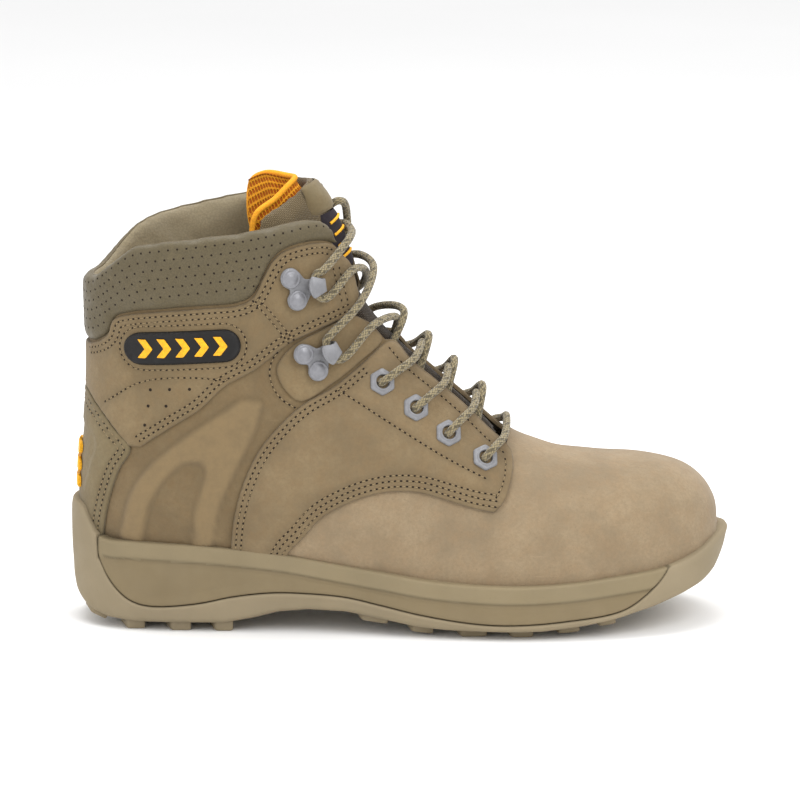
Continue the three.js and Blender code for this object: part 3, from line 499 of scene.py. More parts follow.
def spacer_mesh(name, colour):
    """Thick knitted mesh: rows of upright oval holes, staggered. It has the UV map "cloth" in millimetres."""
    look = Look(name, roughness=0.85, sheen=0.3, specular=0.25)
    look.shader.inputs["Sheen Tint"].default_value = scaled(colour, 1.2)
    x, y, _ = look.cloth_map()
    across = look.maths("COSINE", look.times(x, 2 * math.pi / 3.6))
    down = look.maths("COSINE", look.times(y, 2 * math.pi / 5.2))
    wave = look.times(across, down)
    between = look.steps(look.times(wave, -1.0), 0.18, 0.7)
    hole = look.maths("MAXIMUM", look.steps(wave, 0.18, 0.7), between)
    strand = look.noise(0.5, 3, 0.7)
    body = look.mix(look.steps(strand, 0.3, 0.7), scaled(colour, 0.75), scaled(colour, 1.2))
    # Painted shade in the holes: a deeper, darker orange.
    shade_colour = (colour[0] * 0.5, colour[1] * 0.25, colour[2] * 0.1, 1.0)
    look.colour(look.mix(hole, body, shade_colour))
    look.bump((look.maths("SUBTRACT", 1.0, hole), 0.7), (strand, 0.1))
    return look.material


def moulded_rubber(name, colour, rough=0.72, grime=0.35):
    """Matt moulded rubber: faint mottling, a fine satin grain, darker dirt low down, and painted shade in its
    grooves.
    """
    look = Look(name, specular=0.3)
    base = look.mottled(40, 4, 0.55, colour, 0.93, 1.06)
    speck = look.steps(look.noise(1.4, 3, 0.6), 0.6, 0.78, 0.0, 0.22)
    base = look.mix(speck, base, scaled(colour, 0.72))
    dust = look.times(look.steps(look.height(), 0.0, DUSTY, grime, 0.0), look.noise(8, 4))
    base = look.mix(dust, base, scaled(colour, 0.6))
    # Painted shade in the sunk line along the band and at the parting line.
    base = look.mix(look.times(look.attribute("groove_shade"), 0.75), base, scaled(colour, 0.2))
    look.finish(base, rough - 0.08, rough + 0.08, 12)
    look.bump((look.noise(0.45, 2, 0.6), 0.035), (look.noise(9, 3), 0.12))
    return look.material


def braided_cord(name, colour):
    """Round braid of eight strands, two of them dark. Its map counts strands across and millimetres along."""
    look = Look(name, roughness=0.85, sheen=0.25, specular=0.25)
    x, y, _ = look.cloth_map()
    lay = look.times(y, 0.52)
    rows, heights, darks = [], [], []
    for operation in ("ADD", "SUBTRACT"):
        strand = look.maths(operation, x, lay)
        rows.append(look.maths("FLOOR", strand))
        heights.append(look.maths("SINE", look.times(look.maths("FRACT", strand), math.pi)))
        darks.append(look.maths("LESS_THAN", look.maths("FLOORED_MODULO", rows[-1], 4.0), 0.5))
    on_top = look.maths("FLOORED_MODULO", look.maths("ADD", *rows), 2.0)
    relief = look.mix(on_top, *heights)
    fleck = look.mix(on_top, *darks)
    # Painted shade between the strands, where the relief is low; the two dark strands are the cord's own
    # colour.
    base = look.mix(look.steps(relief, 0.0, 0.8), scaled(colour, 0.3), scaled(colour, 1.15))
    base = look.mix(look.times(fleck, 0.72), base, scaled(colour, 0.16))
    fuzz = look.noise(0.35, 3, 0.7)
    look.colour(look.mix(look.steps(fuzz, 0.4, 0.8, 0.0, 0.25), base, scaled(colour, 1.4)))
    look.bump((relief, 0.32), (fuzz, 0.06))
    return look.material


def metal(name, colour, rough, metallic, wear):
    """Painted or bare sheet metal, a little darker where it has worn."""
    look = Look(name, metallic=metallic, specular=0.5)
    base = look.mottled(3, 4, 0.6, colour, 0.9, 1.08)
    chip = look.steps(look.noise(1.1, 4, 0.75), 0.66, 0.72, 0.0, wear)
    look.finish(look.mix(chip, base, scaled(colour, 0.4)), rough - 0.1, rough + 0.1, 1.8)
    look.bump((look.noise(0.6, 3, 0.6), 0.03))
    return look.material


def plain_board(name, colour, rough, grain, depth):
    """Pressed board, foam or moulded plastic: mottled at the given grain size."""
    look = Look(name, specular=0.3)
    speck = look.noise(grain, 4, 0.7)
    base = look.mix(look.steps(speck, 0.3, 0.7), scaled(colour, 0.8), scaled(colour, 1.2))
    look.finish(base, rough - 0.06, rough + 0.06, grain * 4, 2)
    look.bump((speck, depth))
    return look.material


def plain_floor(name):
    look = Look(name, specular=0.1)
    cloud = look.noise(400, 2)
    look.colour(look.mix(cloud, (0.86, 0.86, 0.86, 1), (0.9, 0.9, 0.9, 1)))
    look.rough(look.steps(cloud, 0.3, 0.7, 0.85, 0.95))
    return look.material


# The panels' tones step down from the vamp to the quarter. This is partly the leathers' own tones and partly
# painted light: the vamp is lighter where light falls on the toe, and the quarter is darker with painted
# shade below the ankle panel.
VAMP_LEATHER = nubuck("nubuck_vamp", tone(136, 119, 94))
SADDLE_LEATHER = nubuck("nubuck_saddle", tone(121, 104, 77))
ANKLE_LEATHER = nubuck("nubuck_ankle", tone(119, 102, 74))
QUARTER_LEATHER = nubuck("nubuck_quarter", tone(111, 94, 67))
HEEL_LEATHER = nubuck("nubuck_heel", tone(112, 99, 72))
COLLAR_LOOK = smooth_leather("collar_leather", tone(101, 89, 61))
COLLAR_INSIDE = smooth_leather("collar_inside_leather", tone(146, 132, 102))
LINING_LOOK = smooth_leather("lining_leather", tone(112, 98, 70))
TONGUE_LOOK = woven("tongue_webbing", tone(122, 106, 78), tone(60, 48, 34))
LINING_CLOTH = woven("lining_cloth", tone(112, 98, 68), tone(96, 83, 58), 1.2, 0.4)
ORANGE = spacer_mesh("orange_spacer_mesh", tone(226, 152, 34))
ORANGE_BINDING = plain_board("orange_binding", tone(222, 150, 34), 0.85, 0.7, 0.12)
OUTSOLE_LOOK = moulded_rubber("outsole_rubber", tone(136, 123, 99))
MIDSOLE_LOOK = moulded_rubber("midsole_rubber", tone(120, 106, 80), 0.76, 0.0)
BAND_LOOK = moulded_rubber("midsole_band_rubber", tone(128, 115, 89), 0.76, 0.0)
RIVET_LOOK = metal("grey_rivet_metal", tone(126, 126, 130), 0.4, 0.3, 0.3)
PAINTED = metal("grey_painted_metal", tone(122, 122, 125), 0.5, 0.15, 0.4)
STEEL = metal("pressed_steel", tone(170, 174, 178), 0.35, 1.0, 0.2)
BLACK_RUBBER = plain_board("black_rubber", tone(17, 15, 15), 0.5, 1.2, 0.04)
LABEL_CLOTH = plain_board("label_cloth", tone(42, 37, 42), 0.85, 0.6, 0.1)
YELLOW_RUBBER = plain_board("yellow_rubber", tone(232, 168, 26), 0.5, 1.5, 0.03)
BOARD = plain_board("pressed_board", tone(190, 165, 120), 0.9, 1.2, 0.1)
FOAM = plain_board("footbed_foam", tone(70, 68, 66), 0.95, 1.0, 0.15)
CLEAR = plain_board("aglet_plastic", tone(112, 94, 66), 0.3, 2.0, 0.02)
THREAD = plain_board("tan_thread", tone(132, 114, 84), 0.75, 0.3, 0.08)
# Dark discs for needle holes, collar perforations and pin holes: painted shade standing in for the holes'
# depth.
NEEDLE_HOLE = plain_board("hole_painted_shade", tone(34, 25, 17), 0.95, 1.0, 0.02)
LACE_LOOK = braided_cord("braided_lace", tone(132, 120, 92))
FLOOR_LOOK = plain_floor("floor")


# ---- Meshes ----
def make_piece(name, points, faces, looks, body=BOOT, face_looks=None, sharp=50):
    """A mesh from points in millimetres, facing out, with edges over the sharp angle kept crisp."""
    mesh = bpy.data.meshes.new(name)
    mesh.from_pydata((np.asarray(points) * MM).tolist(), [], [list(map(int, f)) for f in faces])
    for look in looks if isinstance(looks, (list, tuple)) else [looks]:
        mesh.materials.append(look)
    if face_looks is not None:
        mesh.polygons.foreach_set("material_index", np.asarray(face_looks, np.int32))
    mesh.polygons.foreach_set("use_smooth", np.ones(len(mesh.polygons), bool))
    mesh.update()
    if sharp:
        mesh.set_sharp_from_angle(angle=math.radians(sharp))
    piece = bpy.data.objects.new(name, mesh)
    bpy.context.scene.collection.objects.link(piece)
    if body:
        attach(piece, body)
    return piece


def set_attribute(piece, name, values):
    made = piece.data.attributes.new(name, "FLOAT", "POINT")
    made.data.foreach_set("value", np.asarray(values, np.float32))


def leave_unmarked(piece):
    """A leather piece without a darker rim of cut edge and painted shade, without painted shade in stitch
    grooves, and without worn places.
    """
    for name in ("rim", "groove_shade", "worn"):
        set_attribute(piece, name, np.zeros(len(piece.data.vertices)))


def set_cloth_map(piece, across, down):
    """The UV map "cloth", in millimetres, from one pair of values at each vertex."""
    layer = piece.data.uv_layers.new(name="cloth")
    corners = np.zeros(len(piece.data.loops), np.int32)
    piece.data.loops.foreach_get("vertex_index", corners)
    layer.data.foreach_set("uv", np.stack([across, down], 1)[corners].astype(np.float32).ravel())


def join_meshes(parts):
    """One list of points and one of faces from several (points, faces)."""
    points, faces, start = [], [], 0
    for p, f in parts:
        points.append(np.asarray(p))
        faces.extend([[i + start for i in face] for face in f])
        start += len(p)
    return np.vstack(points), faces


def grid_faces(rows, columns, wrap=False):
    count = columns if wrap else columns - 1
    return [[i * columns + j, i * columns + (j + 1) % columns, (i + 1) * columns + (j + 1) % columns,
             (i + 1) * columns + j] for i in range(rows - 1) for j in range(count)]


def flipped(faces):
    return [list(reversed(f)) for f in faces]


def end_faces(count, total):
    """The two faces that close a run of sections with the same count of points."""
    return [list(range(count)), list(reversed(range(total - count, total)))]


def strip_faces(rows, columns):
    """Faces of sections that are each a front row of points and a back row in reverse, closed at the ends."""
    count = 2 * columns
    faces = grid_faces(rows, count, True)
    for start, turn in ((0, False), ((rows - 1) * count, True)):
        for j in range(columns - 1):
            face = [start + j, start + j + 1, start + count - 2 - j, start + count - 1 - j]
            faces.append(face[::-1] if turn else face)
    return faces


def rim_walls(faces, count):
    """Walls round a sheet's open edge, down to the same points numbered on by the count."""
    edges = dict.fromkeys((a, b) for f in faces for a, b in zip(f, f[1:] + f[:1]))
    return [[b, a, a + count, b + count] for a, b in edges if (b, a) not in edges]


def needs_turning(points, faces, outward):
    """Whether faces look against the outward direction given at each point."""
    tri = np.array([f[:3] for f in faces])
    a, b, c = points[tri[:, 0]], points[tri[:, 1]], points[tri[:, 2]]
    return (np.cross(b - a, c - a) * outward[tri[:, 0]]).sum() < 0


def facing_out(points, faces, outward, judged=None):
    """The faces, all of them turned over if those that are judged look inwards."""
    return flipped(faces) if needs_turning(points, judged or faces, outward) else faces


# ---- Panels ----
DOMAIN = np.array([12.0, 130.0])     # rough millimetres per ring and per unit of fraction
EDGE_ROUND = 1.0
SEAM_DEPTH = 0.34                    # by which a stitch row draws the leather in
SEAM_WIDTH = 0.85


def step_inwards(loop, distance):
    """An unrolled outline moved inwards over the surface by a distance in millimetres."""
    u, v = loop[:, 0], loop[:, 1]
    origin, _, _, normal = surface_frame(u, v)
    closed = np.vstack([origin[-1], origin, origin[0]])
    tangent = unit(closed[2:] - closed[:-2])
    inward = np.cross(normal, tangent)
    step_u = (surface(u + 0.02, v) - origin) / 0.02
    step_v = (surface(u, v + 0.004) - origin) / 0.004
    uu, uv, vv = (step_u ** 2).sum(1), (step_u * step_v).sum(1), (step_v ** 2).sum(1)
    iu, iv = (inward * step_u).sum(1), (inward * step_v).sum(1)
    det = np.maximum(uu * vv - uv * uv, 1e-6)
    moved = np.stack([(iu * vv - iv * uv) / det, (iv * uu - iu * uv) / det], 1) * distance
    turns_left = np.sum(loop[:, 0] * np.roll(loop[:, 1], -1) - loop[:, 1] * np.roll(loop[:, 0], -1)) > 0
    return loop + (-moved if turns_left else moved)


class Panel:
    """A panel on the surface, drawn by its unrolled outline, with a rounded edge and stitch grooves."""

    def __init__(self, loop, base, thickness, rows=(), shape=None, puff=0.3, spacing=2.3, edge=0.45):
        self.loop = loop
        self.base = base
        self.thickness = thickness
        self.rows = rows
        self.shape = shape
        self.puff = puff
        self.edge = edge
        self.worn = None
        self.shade_lines = None
        rim = surface(loop[:, 0], loop[:, 1])
        self.rim = resample(np.vstack([rim, rim[:1]]), 0.4)
        self.row_points = np.vstack([resample(r, 0.5) for r in rows]) if len(rows) else None
        self.coords, self.faces = self.triangles(spacing)

    def triangles(self, spacing):
        loop = self.loop * DOMAIN
        fixed = [loop]
        for inset in (0.35, 0.95):
            moved = step_inwards(self.loop, inset)
            clear = distance_to(surface(moved[:, 0], moved[:, 1]), self.rim) > inset * 0.85
            moved = moved[clear & inside(moved * DOMAIN, loop)]
            fixed.append(moved * DOMAIN)
        for row in self.rows:
            for shift in (-0.75, 0, 0.75):
                line = resample(shifted(row, shift) if shift else row, 1.5)
                uv = from_side(line)
                uv = uv[inside(uv * DOMAIN, loop)]
                if len(uv):
                    clear = distance_to(surface(uv[:, 0], uv[:, 1]), self.rim) > 1.4
                    fixed.append(uv[clear] * DOMAIN)
        fixed = np.vstack(fixed)
        low, high = loop.min(0), loop.max(0)
        xs = np.arange(low[0], high[0], spacing)
        ys = np.arange(low[1], high[1], spacing * 0.87)
        grid = np.array([(x + (k % 2) * spacing / 2, y) for k, y in enumerate(ys) for x in xs])
        grid = grid[inside(grid, loop)]
        grid = grid[distance_to(grid, fixed) > spacing * 0.6]
        points = np.vstack([fixed, grid])
        made = delaunay_2d_cdt([Vector(p) for p in points], [], [list(range(len(loop)))], 1, 0.02)
        return np.array([tuple(p) for p in made[0]]) / DOMAIN, [list(f) for f in made[2]]

    def top(self, points, rim_distance):
        """Offset of the top of the panel at points of the surface."""
        d = np.clip(rim_distance / EDGE_ROUND, 0, 1)
        height = self.base + self.thickness * (self.edge + (1 - self.edge) * np.sqrt(1 - (1 - d) ** 2))
        height = height + self.puff * (1 - np.exp(-rim_distance / 7))
        if self.row_points is not None:
            gap = distance_to(points[:, [0, 2]], self.row_points)
            height = height - SEAM_DEPTH * np.exp(-(gap / SEAM_WIDTH) ** 2)
        if self.shape is not None:
            height = height + self.shape(points[:, [0, 2]])
        return height

    def offset_at(self, uv):
        """Offset of the top at unrolled points of the panel."""
        points = surface(uv[:, 0], uv[:, 1])
        return self.top(points, distance_to(points, self.rim))

    def build(self, name, look, side):
        u, v = self.coords[:, 0], self.coords[:, 1]
        flat = surface(u, v)
        rim_distance = distance_to(flat, self.rim)
        top = self.top(flat, rim_distance)
        count = len(u)
        points = np.vstack([offset_points(u, v * side, top), offset_points(u, v * side, self.base)])
        back = [[i + count for i in reversed(f)] for f in self.faces]
        faces = self.faces + back + rim_walls(self.faces, count)
        outward = surface_frame(u, v * side)[3]
        piece = make_piece(name, points, facing_out(points, faces, outward, self.faces), look)
        # The rim mask darkens the cut edge: partly its own colour, partly painted shade.
        set_attribute(piece, "rim", np.tile(np.exp(-rim_distance / 0.55), 2))
        # One mask of painted shade along the stitch rows and the emboss crease lines.
        groove_shade = np.zeros(count)
        if self.row_points is not None:
            groove_shade = np.exp(-(distance_to(flat[:, [0, 2]], self.row_points) / 0.9) ** 2)
        if self.shade_lines is not None:
            lines = np.exp(-(distance_to(flat[:, [0, 2]], self.shade_lines) / 1.3) ** 2)
            groove_shade = np.maximum(groove_shade, lines * 0.9)
        set_attribute(piece, "groove_shade", np.tile(groove_shade, 2))
        worn = self.worn(flat[:, [0, 2]]) if self.worn else np.zeros(count)
        set_attribute(piece, "worn", np.tile(worn, 2))
        return piece


STITCH_PITCH = 2.8
STITCH_LENGTH = 1.95
THREAD_RADIUS = 0.3
HOLE_RADIUS = 0.54
HOLE_FACES = [face for j in range(8) for face in ([(j + 1) % 8, j, 8], [j, (j + 1) % 8, 9])]


def stitch_line(points, normals, pitch=STITCH_PITCH):
    """Threads and needle holes along a line on the surface: (points, faces, look of each face)."""
    line = resample(np.hstack([points, normals]), pitch)
    spots, ups = line[:, :3], unit(line[:, 3:])
    middle = (spots[1:] + spots[:-1]) / 2
    up = unit(ups[1:] + ups[:-1])
    along = unit(spots[1:] - spots[:-1])
    across = np.cross(up, along)
    made, faces, looks = [], [], []
    rings, sides, corners = 5, 6, 8
    s = np.linspace(-1, 1, rings)
    lift = 0.3 * (1 - s ** 2) - 0.16
    radius = THREAD_RADIUS * (1 - 0.45 * s ** 4)
    angle = turns(sides)
    thread_faces = grid_faces(rings, sides, True) + end_faces(sides, rings * sides)
    for k in range(len(middle)):
        centre = middle[k] + along[k] * s[:, None] * STITCH_LENGTH / 2 + up[k] * lift[:, None]
        ring = (centre[:, None, :] + radius[:, None, None] * (np.cos(angle)[None, :, None] * across[k]
                + np.sin(angle)[None, :, None] * up[k]))
        start = k * rings * sides
        made.append(ring.reshape(-1, 3))
        faces += [[i + start for i in reversed(f)] for f in thread_faces]
        looks += [0] * len(thread_faces)
    # Needle holes: dark discs of painted shade.
    hole_angle = turns(corners)
    base = len(middle) * rings * sides
    side_axis = np.cross(ups, np.vstack([along, along[-1:]]))
    front_axis = np.cross(side_axis, ups)
    for k in range(len(spots)):
        rim = (spots[k] + ups[k] * 0.13 + HOLE_RADIUS * (1.15 * np.cos(hole_angle)[:, None] * front_axis[k]
               + np.sin(hole_angle)[:, None] * 0.85 * side_axis[k]))
        low = spots[k] - ups[k] * 0.35
        made.append(np.vstack([rim, spots[k] + ups[k] * 0.15, low]))
        faces += [[i + base for i in f] for f in HOLE_FACES]
        looks += [1] * len(HOLE_FACES)
        base += corners + 2
    return np.vstack(made), faces, looks


def stitches(name, panel, rows, side, pitch=STITCH_PITCH):
    """All the stitching of one panel on one side, as one piece."""
    parts, looks = [], []
    for row in rows:
        uv = from_side(resample(row, 1.2))
        offset = panel.offset_at(uv)
        points = offset_points(uv[:, 0], uv[:, 1] * side, offset)
        normals = surface_frame(uv[:, 0], uv[:, 1] * side)[3]
        p, f, face_looks = stitch_line(points, normals, pitch)
        parts.append((p, f))
        looks.extend(face_looks)
    points, faces = join_meshes(parts)
    return make_piece(name, points, faces, [THREAD, NEEDLE_HOLE], face_looks=looks, sharp=None)


# ---- Seam lines of the panels in side view, x and z ----
RAND_LINE = [
    [-160, 57.5], [-150, 57], [-145, 49], [-141, 43.5], [-123, 42.5], [-99, 41.6], [-78, 40], [-54, 37.5],
    [-30, 33.6], [-9, 30.5], [12, 27.5], [34, 26], [55, 25.6], [77, 26.5], [98, 28.5], [125, 31.5],
    [142, 37], [149, 41.5], [160, 46],
]
THROAT_EDGE = [
    [-6.7, 134.1], [-3, 133.4], [4.7, 124.6], [15.9, 115.2], [30.8, 102.4], [42.1, 91.6], [49.4, 85.5],
]
SADDLE_FRONT = [
    [51.5, 82.7], [52.4, 77.8], [50.3, 68.2], [48, 63], [43.6, 58.7], [34.9, 60.3], [22.8, 63.7],
    [8.9, 67.5], [-3.6, 68], [-13.8, 66.3], [-24.2, 62.6], [-35.8, 56.1], [-45.1, 45.9], [-52.1, 38],
    [-56, 24],
]
SADDLE_REAR = [[-80, 24], [-78.5, 40.4], [-76.8, 55.8], [-72.5, 71.8], [-65.2, 87.4], [-55.3, 99.6],
               [-44.5, 109], [-31.1, 116.2], [-18.7, 125.2]]
INNER_ROW = [[-28.8, 114.8], [-4.4, 98.4], [18.5, 84], [39, 73.2]]
VAMP_SEAM = [[49.5, 84.5], [42, 73], [10, 74.5], [-16, 71], [-42, 58], [-64, 34], [-70, 20]]
ANKLE_FRONT = [[-22.2, 149.1], [-19.9, 154.7], [-21.3, 161.6], [-24.4, 171.6], [-27, 175]]
ANKLE_LOWER = [[-120, 88.4], [-104.2, 99.2], [-92.2, 107.1], [-80.5, 118.2], [-66.6, 126.1], [-51.5, 137.6],
               [-36.7, 144], [-22.2, 149.1]]
ANKLE_BACK = [[-149, 112.6], [-146, 112], [-140.4, 105.8], [-132.7, 96.6], [-125, 88.2]]
COLLAR_SEAM = [
    [-28.8, 176.6], [-31.6, 181.1], [-38.5, 183.1], [-52.8, 180.9], [-58.4, 176.5], [-62.2, 169.8],
    [-67.5, 159.5], [-73.5, 156.2], [-89.8, 154.5], [-111.1, 152.3], [-127.4, 149.3], [-131.9, 146.7],
    [-134.5, 139.4], [-137.8, 136.2], [-143.4, 133.4], [-148, 132.5],
]
OUTER_TOPLINE = [
    [-26.4, 179.5], [-28.6, 186.5], [-33.8, 191.5], [-40.3, 194.1], [-54.7, 192.6], [-68.2, 190.2],
    [-91.4, 187.3], [-108.9, 185], [-122.5, 182.1], [-130.7, 176.2], [-138.3, 169.2], [-142.5, 166],
    [-148, 165],
]
INNER_TOPLINE = [
    [-26.4, 179.5], [-31.5, 197], [-35, 203.5], [-42, 205.5], [-54.7, 202.5], [-68.2, 198.5], [-91.4, 193],
    [-108.9, 189], [-122.5, 184.5], [-130.7, 178], [-138, 170], [-142.5, 166], [-148, 165],
]
HEEL_COVER_FRONT = [[-149, 112], [-146, 111.4], [-140, 105], [-132.3, 95.8], [-124.6, 87.2], [-130.2, 76.4],
                    [-135.2, 60.8], [-138.1, 44.4], [-139, 30]]
HEEL_INSET = [[-145.1, 94.4], [-141.1, 90.9], [-139.9, 85.6], [-142.7, 76.3], [-146.1, 63.5]]
HOOK_PANEL = [[-8.4, 135.6], [-13, 141], [-21.6, 148], [-36.7, 142.8], [-50.2, 136], [-56.8, 127], [-56, 121],
              [-50.6, 112.9], [-45.2, 110.2], [-31.7, 117.4], [-19.2, 126.3]]
EMBOSS_OUTER = [
    [-86.2, 42], [-82.9, 59.6], [-76.5, 75], [-66.8, 95.6], [-63.7, 105.8], [-63, 110.2], [-66.3, 112],
    [-73.3, 112.2], [-82.4, 106.3], [-101.8, 92.8], [-117.5, 78.8], [-126, 65.4], [-129.6, 52],
    [-131.3, 44.3],
]
EMBOSS_INNER = [[-97.1, 41.6], [-96.4, 55.3], [-93.7, 66.4], [-90.7, 77.8], [-92.3, 80.9], [-95.3, 81.4],
                [-99.8, 80.6], [-107.7, 73.7], [-115.3, 61.2], [-117.3, 53.3], [-119, 42]]
BADGE_CENTRE = (-99.5, 136)
BADGE_TILT = 0.07
BADGE_HALF = (26.5, 7.6)
PIN_HOLES = [
    [-114.5, 115.4], [-105.7, 116.1], [-96.6, 116.6], [-115.6, 107.8], [-107.4, 108.3], [-117.3, 98.8],
]
DASHED_ROW = [[-135.7, 107.5], [-121.5, 117.5], [-111.4, 120.6], [-94.3, 121.9], [-79.9, 121.1]]
FRONT_ROW = [[-29.2, 170.1], [-27.3, 162.1], [-25.4, 155.5]]
CROSS_ROW = [[-67.4, 157.9], [-60.4, 149.7], [-51.6, 138.3]]
HOOK_ROW = [[-54.5, 135.6], [-58.6, 130.4], [-60, 124], [-58.2, 116.6], [-53.5, 110.6], [-48.5, 107.4]]
OVERLAY_BASE = 0.3
OVERLAY = 1.5
BASE_LEATHER = 2.0


def height_on(line, x):
    line = np.asarray(line, float)
    return np.interp(x, line[:, 0], line[:, 1])


def rows_beside(line, distances, trim=0):
    """Stitch rows at the given distances beside a smoothed seam."""
    seam = smooth(line, 1.5)
    made = [shifted(seam, d) for d in distances]
    return [row[trim:len(row) - trim] if trim else row for row in made]


def raised_pad(points, outline, height, width):
    """A soft-edged step inside an outline."""
    line = smooth(outline, 1.0, closed=True)
    distance = distance_to(points, line) * np.where(inside(points, line), 1, -1)
    return height * ease(distance / width * 0.5 + 0.5)


def crease(points, line, depth, width):
    return -depth * np.exp(-(distance_to(points, smooth(line, 0.8)) / width) ** 2)


def pill(centre, half, tilt, grow=0, count=16):
    """A stadium outline in side view, tilted by a slope."""
    length, height = half[0] + grow, half[1] + grow
    angle = np.linspace(-math.pi / 2, math.pi / 2, count)
    right = np.stack([length - height + height * np.cos(angle), height * np.sin(angle)], 1)
    local = np.vstack([right, -right])
    return np.array([(centre[0] + x - tilt * z, centre[1] + z + tilt * x) for x, z in local])


# ---- The leather panels ----
def vamp():
    """The toe of the upper, one grid from the tip back to its seam under the saddles, closed at the tip."""
    columns, rows = 136, 74
    v = np.linspace(-1, 1, columns, endpoint=False)
    back = ring_at(from_side(smooth(VAMP_SEAM, 2)), np.abs(v))
    share = np.linspace(0, 1, rows)[:, None] ** 1.25
    u = share * back[None, :]
    v = np.broadcast_to(v, u.shape)
    flat = surface(u, v)
    flex = np.exp(-((flat[..., 0] - 66) / 16) ** 2) * ease((flat[..., 2] - 38) / 30)
    waves = 0.28 * np.sin(flat[..., 0] / 4.6 + np.abs(flat[..., 1]) / 15) * flex
    cloud = 0.25 * np.sin(flat[..., 0] / 17 + 1) * np.sin(flat[..., 1] / 13 + flat[..., 2] / 21)
    outer = offset_points(u, v, waves + cloud)
    tip = outer[0].mean(0)
    caps = [tip + (outer[0] - tip) * s + [1.2 * (1 - s * s), 0, 0] for s in (0.25, 0.6, 0.85)]
    layers = np.stack(caps + list(outer) + [offset_points(u[-1], v[-1], -BASE_LEATHER)])
    points = np.vstack([layers.reshape(-1, 3), tip + [1.2, 0, 0]])
    faces = grid_faces(len(layers), columns, True)
    faces += [[len(points) - 1, (j + 1) % columns, j] for j in range(columns)]
    outward = np.vstack([np.tile([1.0, 0, 0], (3 * columns, 1)), surface_frame(u, v)[3].reshape(-1, 3),
                         np.zeros((columns + 1, 3))])
    judged = [f for f in faces[10 * columns:] if max(f) < len(points) - columns - 1]
    piece = make_piece("vamp_leather", points, facing_out(points, faces, outward, judged), VAMP_LEATHER)
    leave_unmarked(piece)
    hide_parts("vamp")


def quarter_panel():
    front = shifted(smooth(THROAT_EDGE, 1.5), 1.6)
    outline = outline_of(smooth(VAMP_SEAM[1:], 2)[::-1], smooth([[44, 78], [48, 84.5]], 1.5), front[::-1],
                         smooth([[-8, 137.5], [-14, 144], [-22.2, 149.1]], 1.5), smooth(ANKLE_FRONT, 1.5),
                         smooth(COLLAR_SEAM, 1.5)[3:] + [0, 1.5],
                         resample([[-150, 130], [-151, 60], [-150, 32]], 2.5),
                         resample([[-148, 30], [-70, 24]], 2.5))

    def shape(points):
        pad = raised_pad(points, EMBOSS_OUTER, 1.4, 2.6)
        dish = raised_pad(points, EMBOSS_INNER, -1.7, 2.6)
        lines = crease(points, EMBOSS_OUTER, 0.7, 1.6) + crease(points, EMBOSS_INNER, 0.3, 1.2)
        window = crease(points, HOOK_PANEL + HOOK_PANEL[:1], 0.5, 1.2)
        return pad + dish + lines + window

    def worn(points):
        return raised_pad(points, EMBOSS_OUTER, 1.0, 3.0) - raised_pad(points, EMBOSS_INNER, 1.0, 3.0)

    panel = Panel(from_side(outline), -BASE_LEATHER, BASE_LEATHER, [smooth(HOOK_ROW, 1.2)], shape, puff=0.0,
                  spacing=1.05)
    panel.worn = worn
    # The emboss outlines get painted shade along their creases.
    panel.shade_lines = np.vstack([smooth(EMBOSS_OUTER, 0.6), smooth(EMBOSS_INNER, 0.6)])
    return panel


def saddle_panel():
    rear_and_throat = smooth(SADDLE_REAR + THROAT_EDGE + SADDLE_FRONT[:5], 1.3)
    outline = outline_of(rear_and_throat, smooth(SADDLE_FRONT[4:], 1.3), resample([[-56, 24], [-80, 24]], 2))
    front_rows = [shifted(smooth(SADDLE_FRONT[4:], 1.3), d) for d in (-2.2, -4.7, -7.2)]
    corner = smooth([[48.3, 80], [48.6, 77], [47.2, 69.8], [44.4, 64.9]], 1.3)
    rear_rows = rows_beside(SADDLE_REAR[1:], (-2.1, -4.6))
    throat_row = shifted(smooth(THROAT_EDGE[1:], 1.3), -3.4)
    inner_row = smooth(INNER_ROW, 1.3)
    rows = [*front_rows, corner, *rear_rows, throat_row, inner_row]
    return Panel(from_side(outline), OVERLAY_BASE, OVERLAY, rows, puff=0.25)


def ankle_panel():
    outline = outline_of(smooth(ANKLE_BACK, 1.5), smooth(ANKLE_LOWER, 1.5), smooth(ANKLE_FRONT, 1.5),
                         smooth(COLLAR_SEAM, 1.3) - [0, 0.3], resample([[-149, 131], [-150, 113]], 2))
    collar_rows = rows_beside(COLLAR_SEAM, (2.3, 4.8), 3)
    lower_rows = rows_beside(ANKLE_LOWER, (2.2, 4.7), 1)
    front_rows = [smooth(FRONT_ROW, 1.5), smooth(FRONT_ROW, 1.5) - [2.6, 0]]
    cross_rows = [smooth(CROSS_ROW, 1.5), smooth(CROSS_ROW, 1.5) + [2.3, 1.2]]
    badge_row = smooth(pill(BADGE_CENTRE, BADGE_HALF, BADGE_TILT, 2.6), 1.5, closed=True)
    rows = [*collar_rows, *lower_rows, *front_rows, *cross_rows, badge_row, smooth(DASHED_ROW, 1.5)]
    return Panel(from_side(outline), OVERLAY_BASE, OVERLAY, rows, puff=0.3)


def hook_panel():
    outline = smooth(HOOK_PANEL, 1.2, closed=True)
    drawn_in = shifted(np.vstack([outline, outline[:1]]), 0.25)[:-1]
    return Panel(from_side(drawn_in), 0.05, 0.85, puff=0.35)


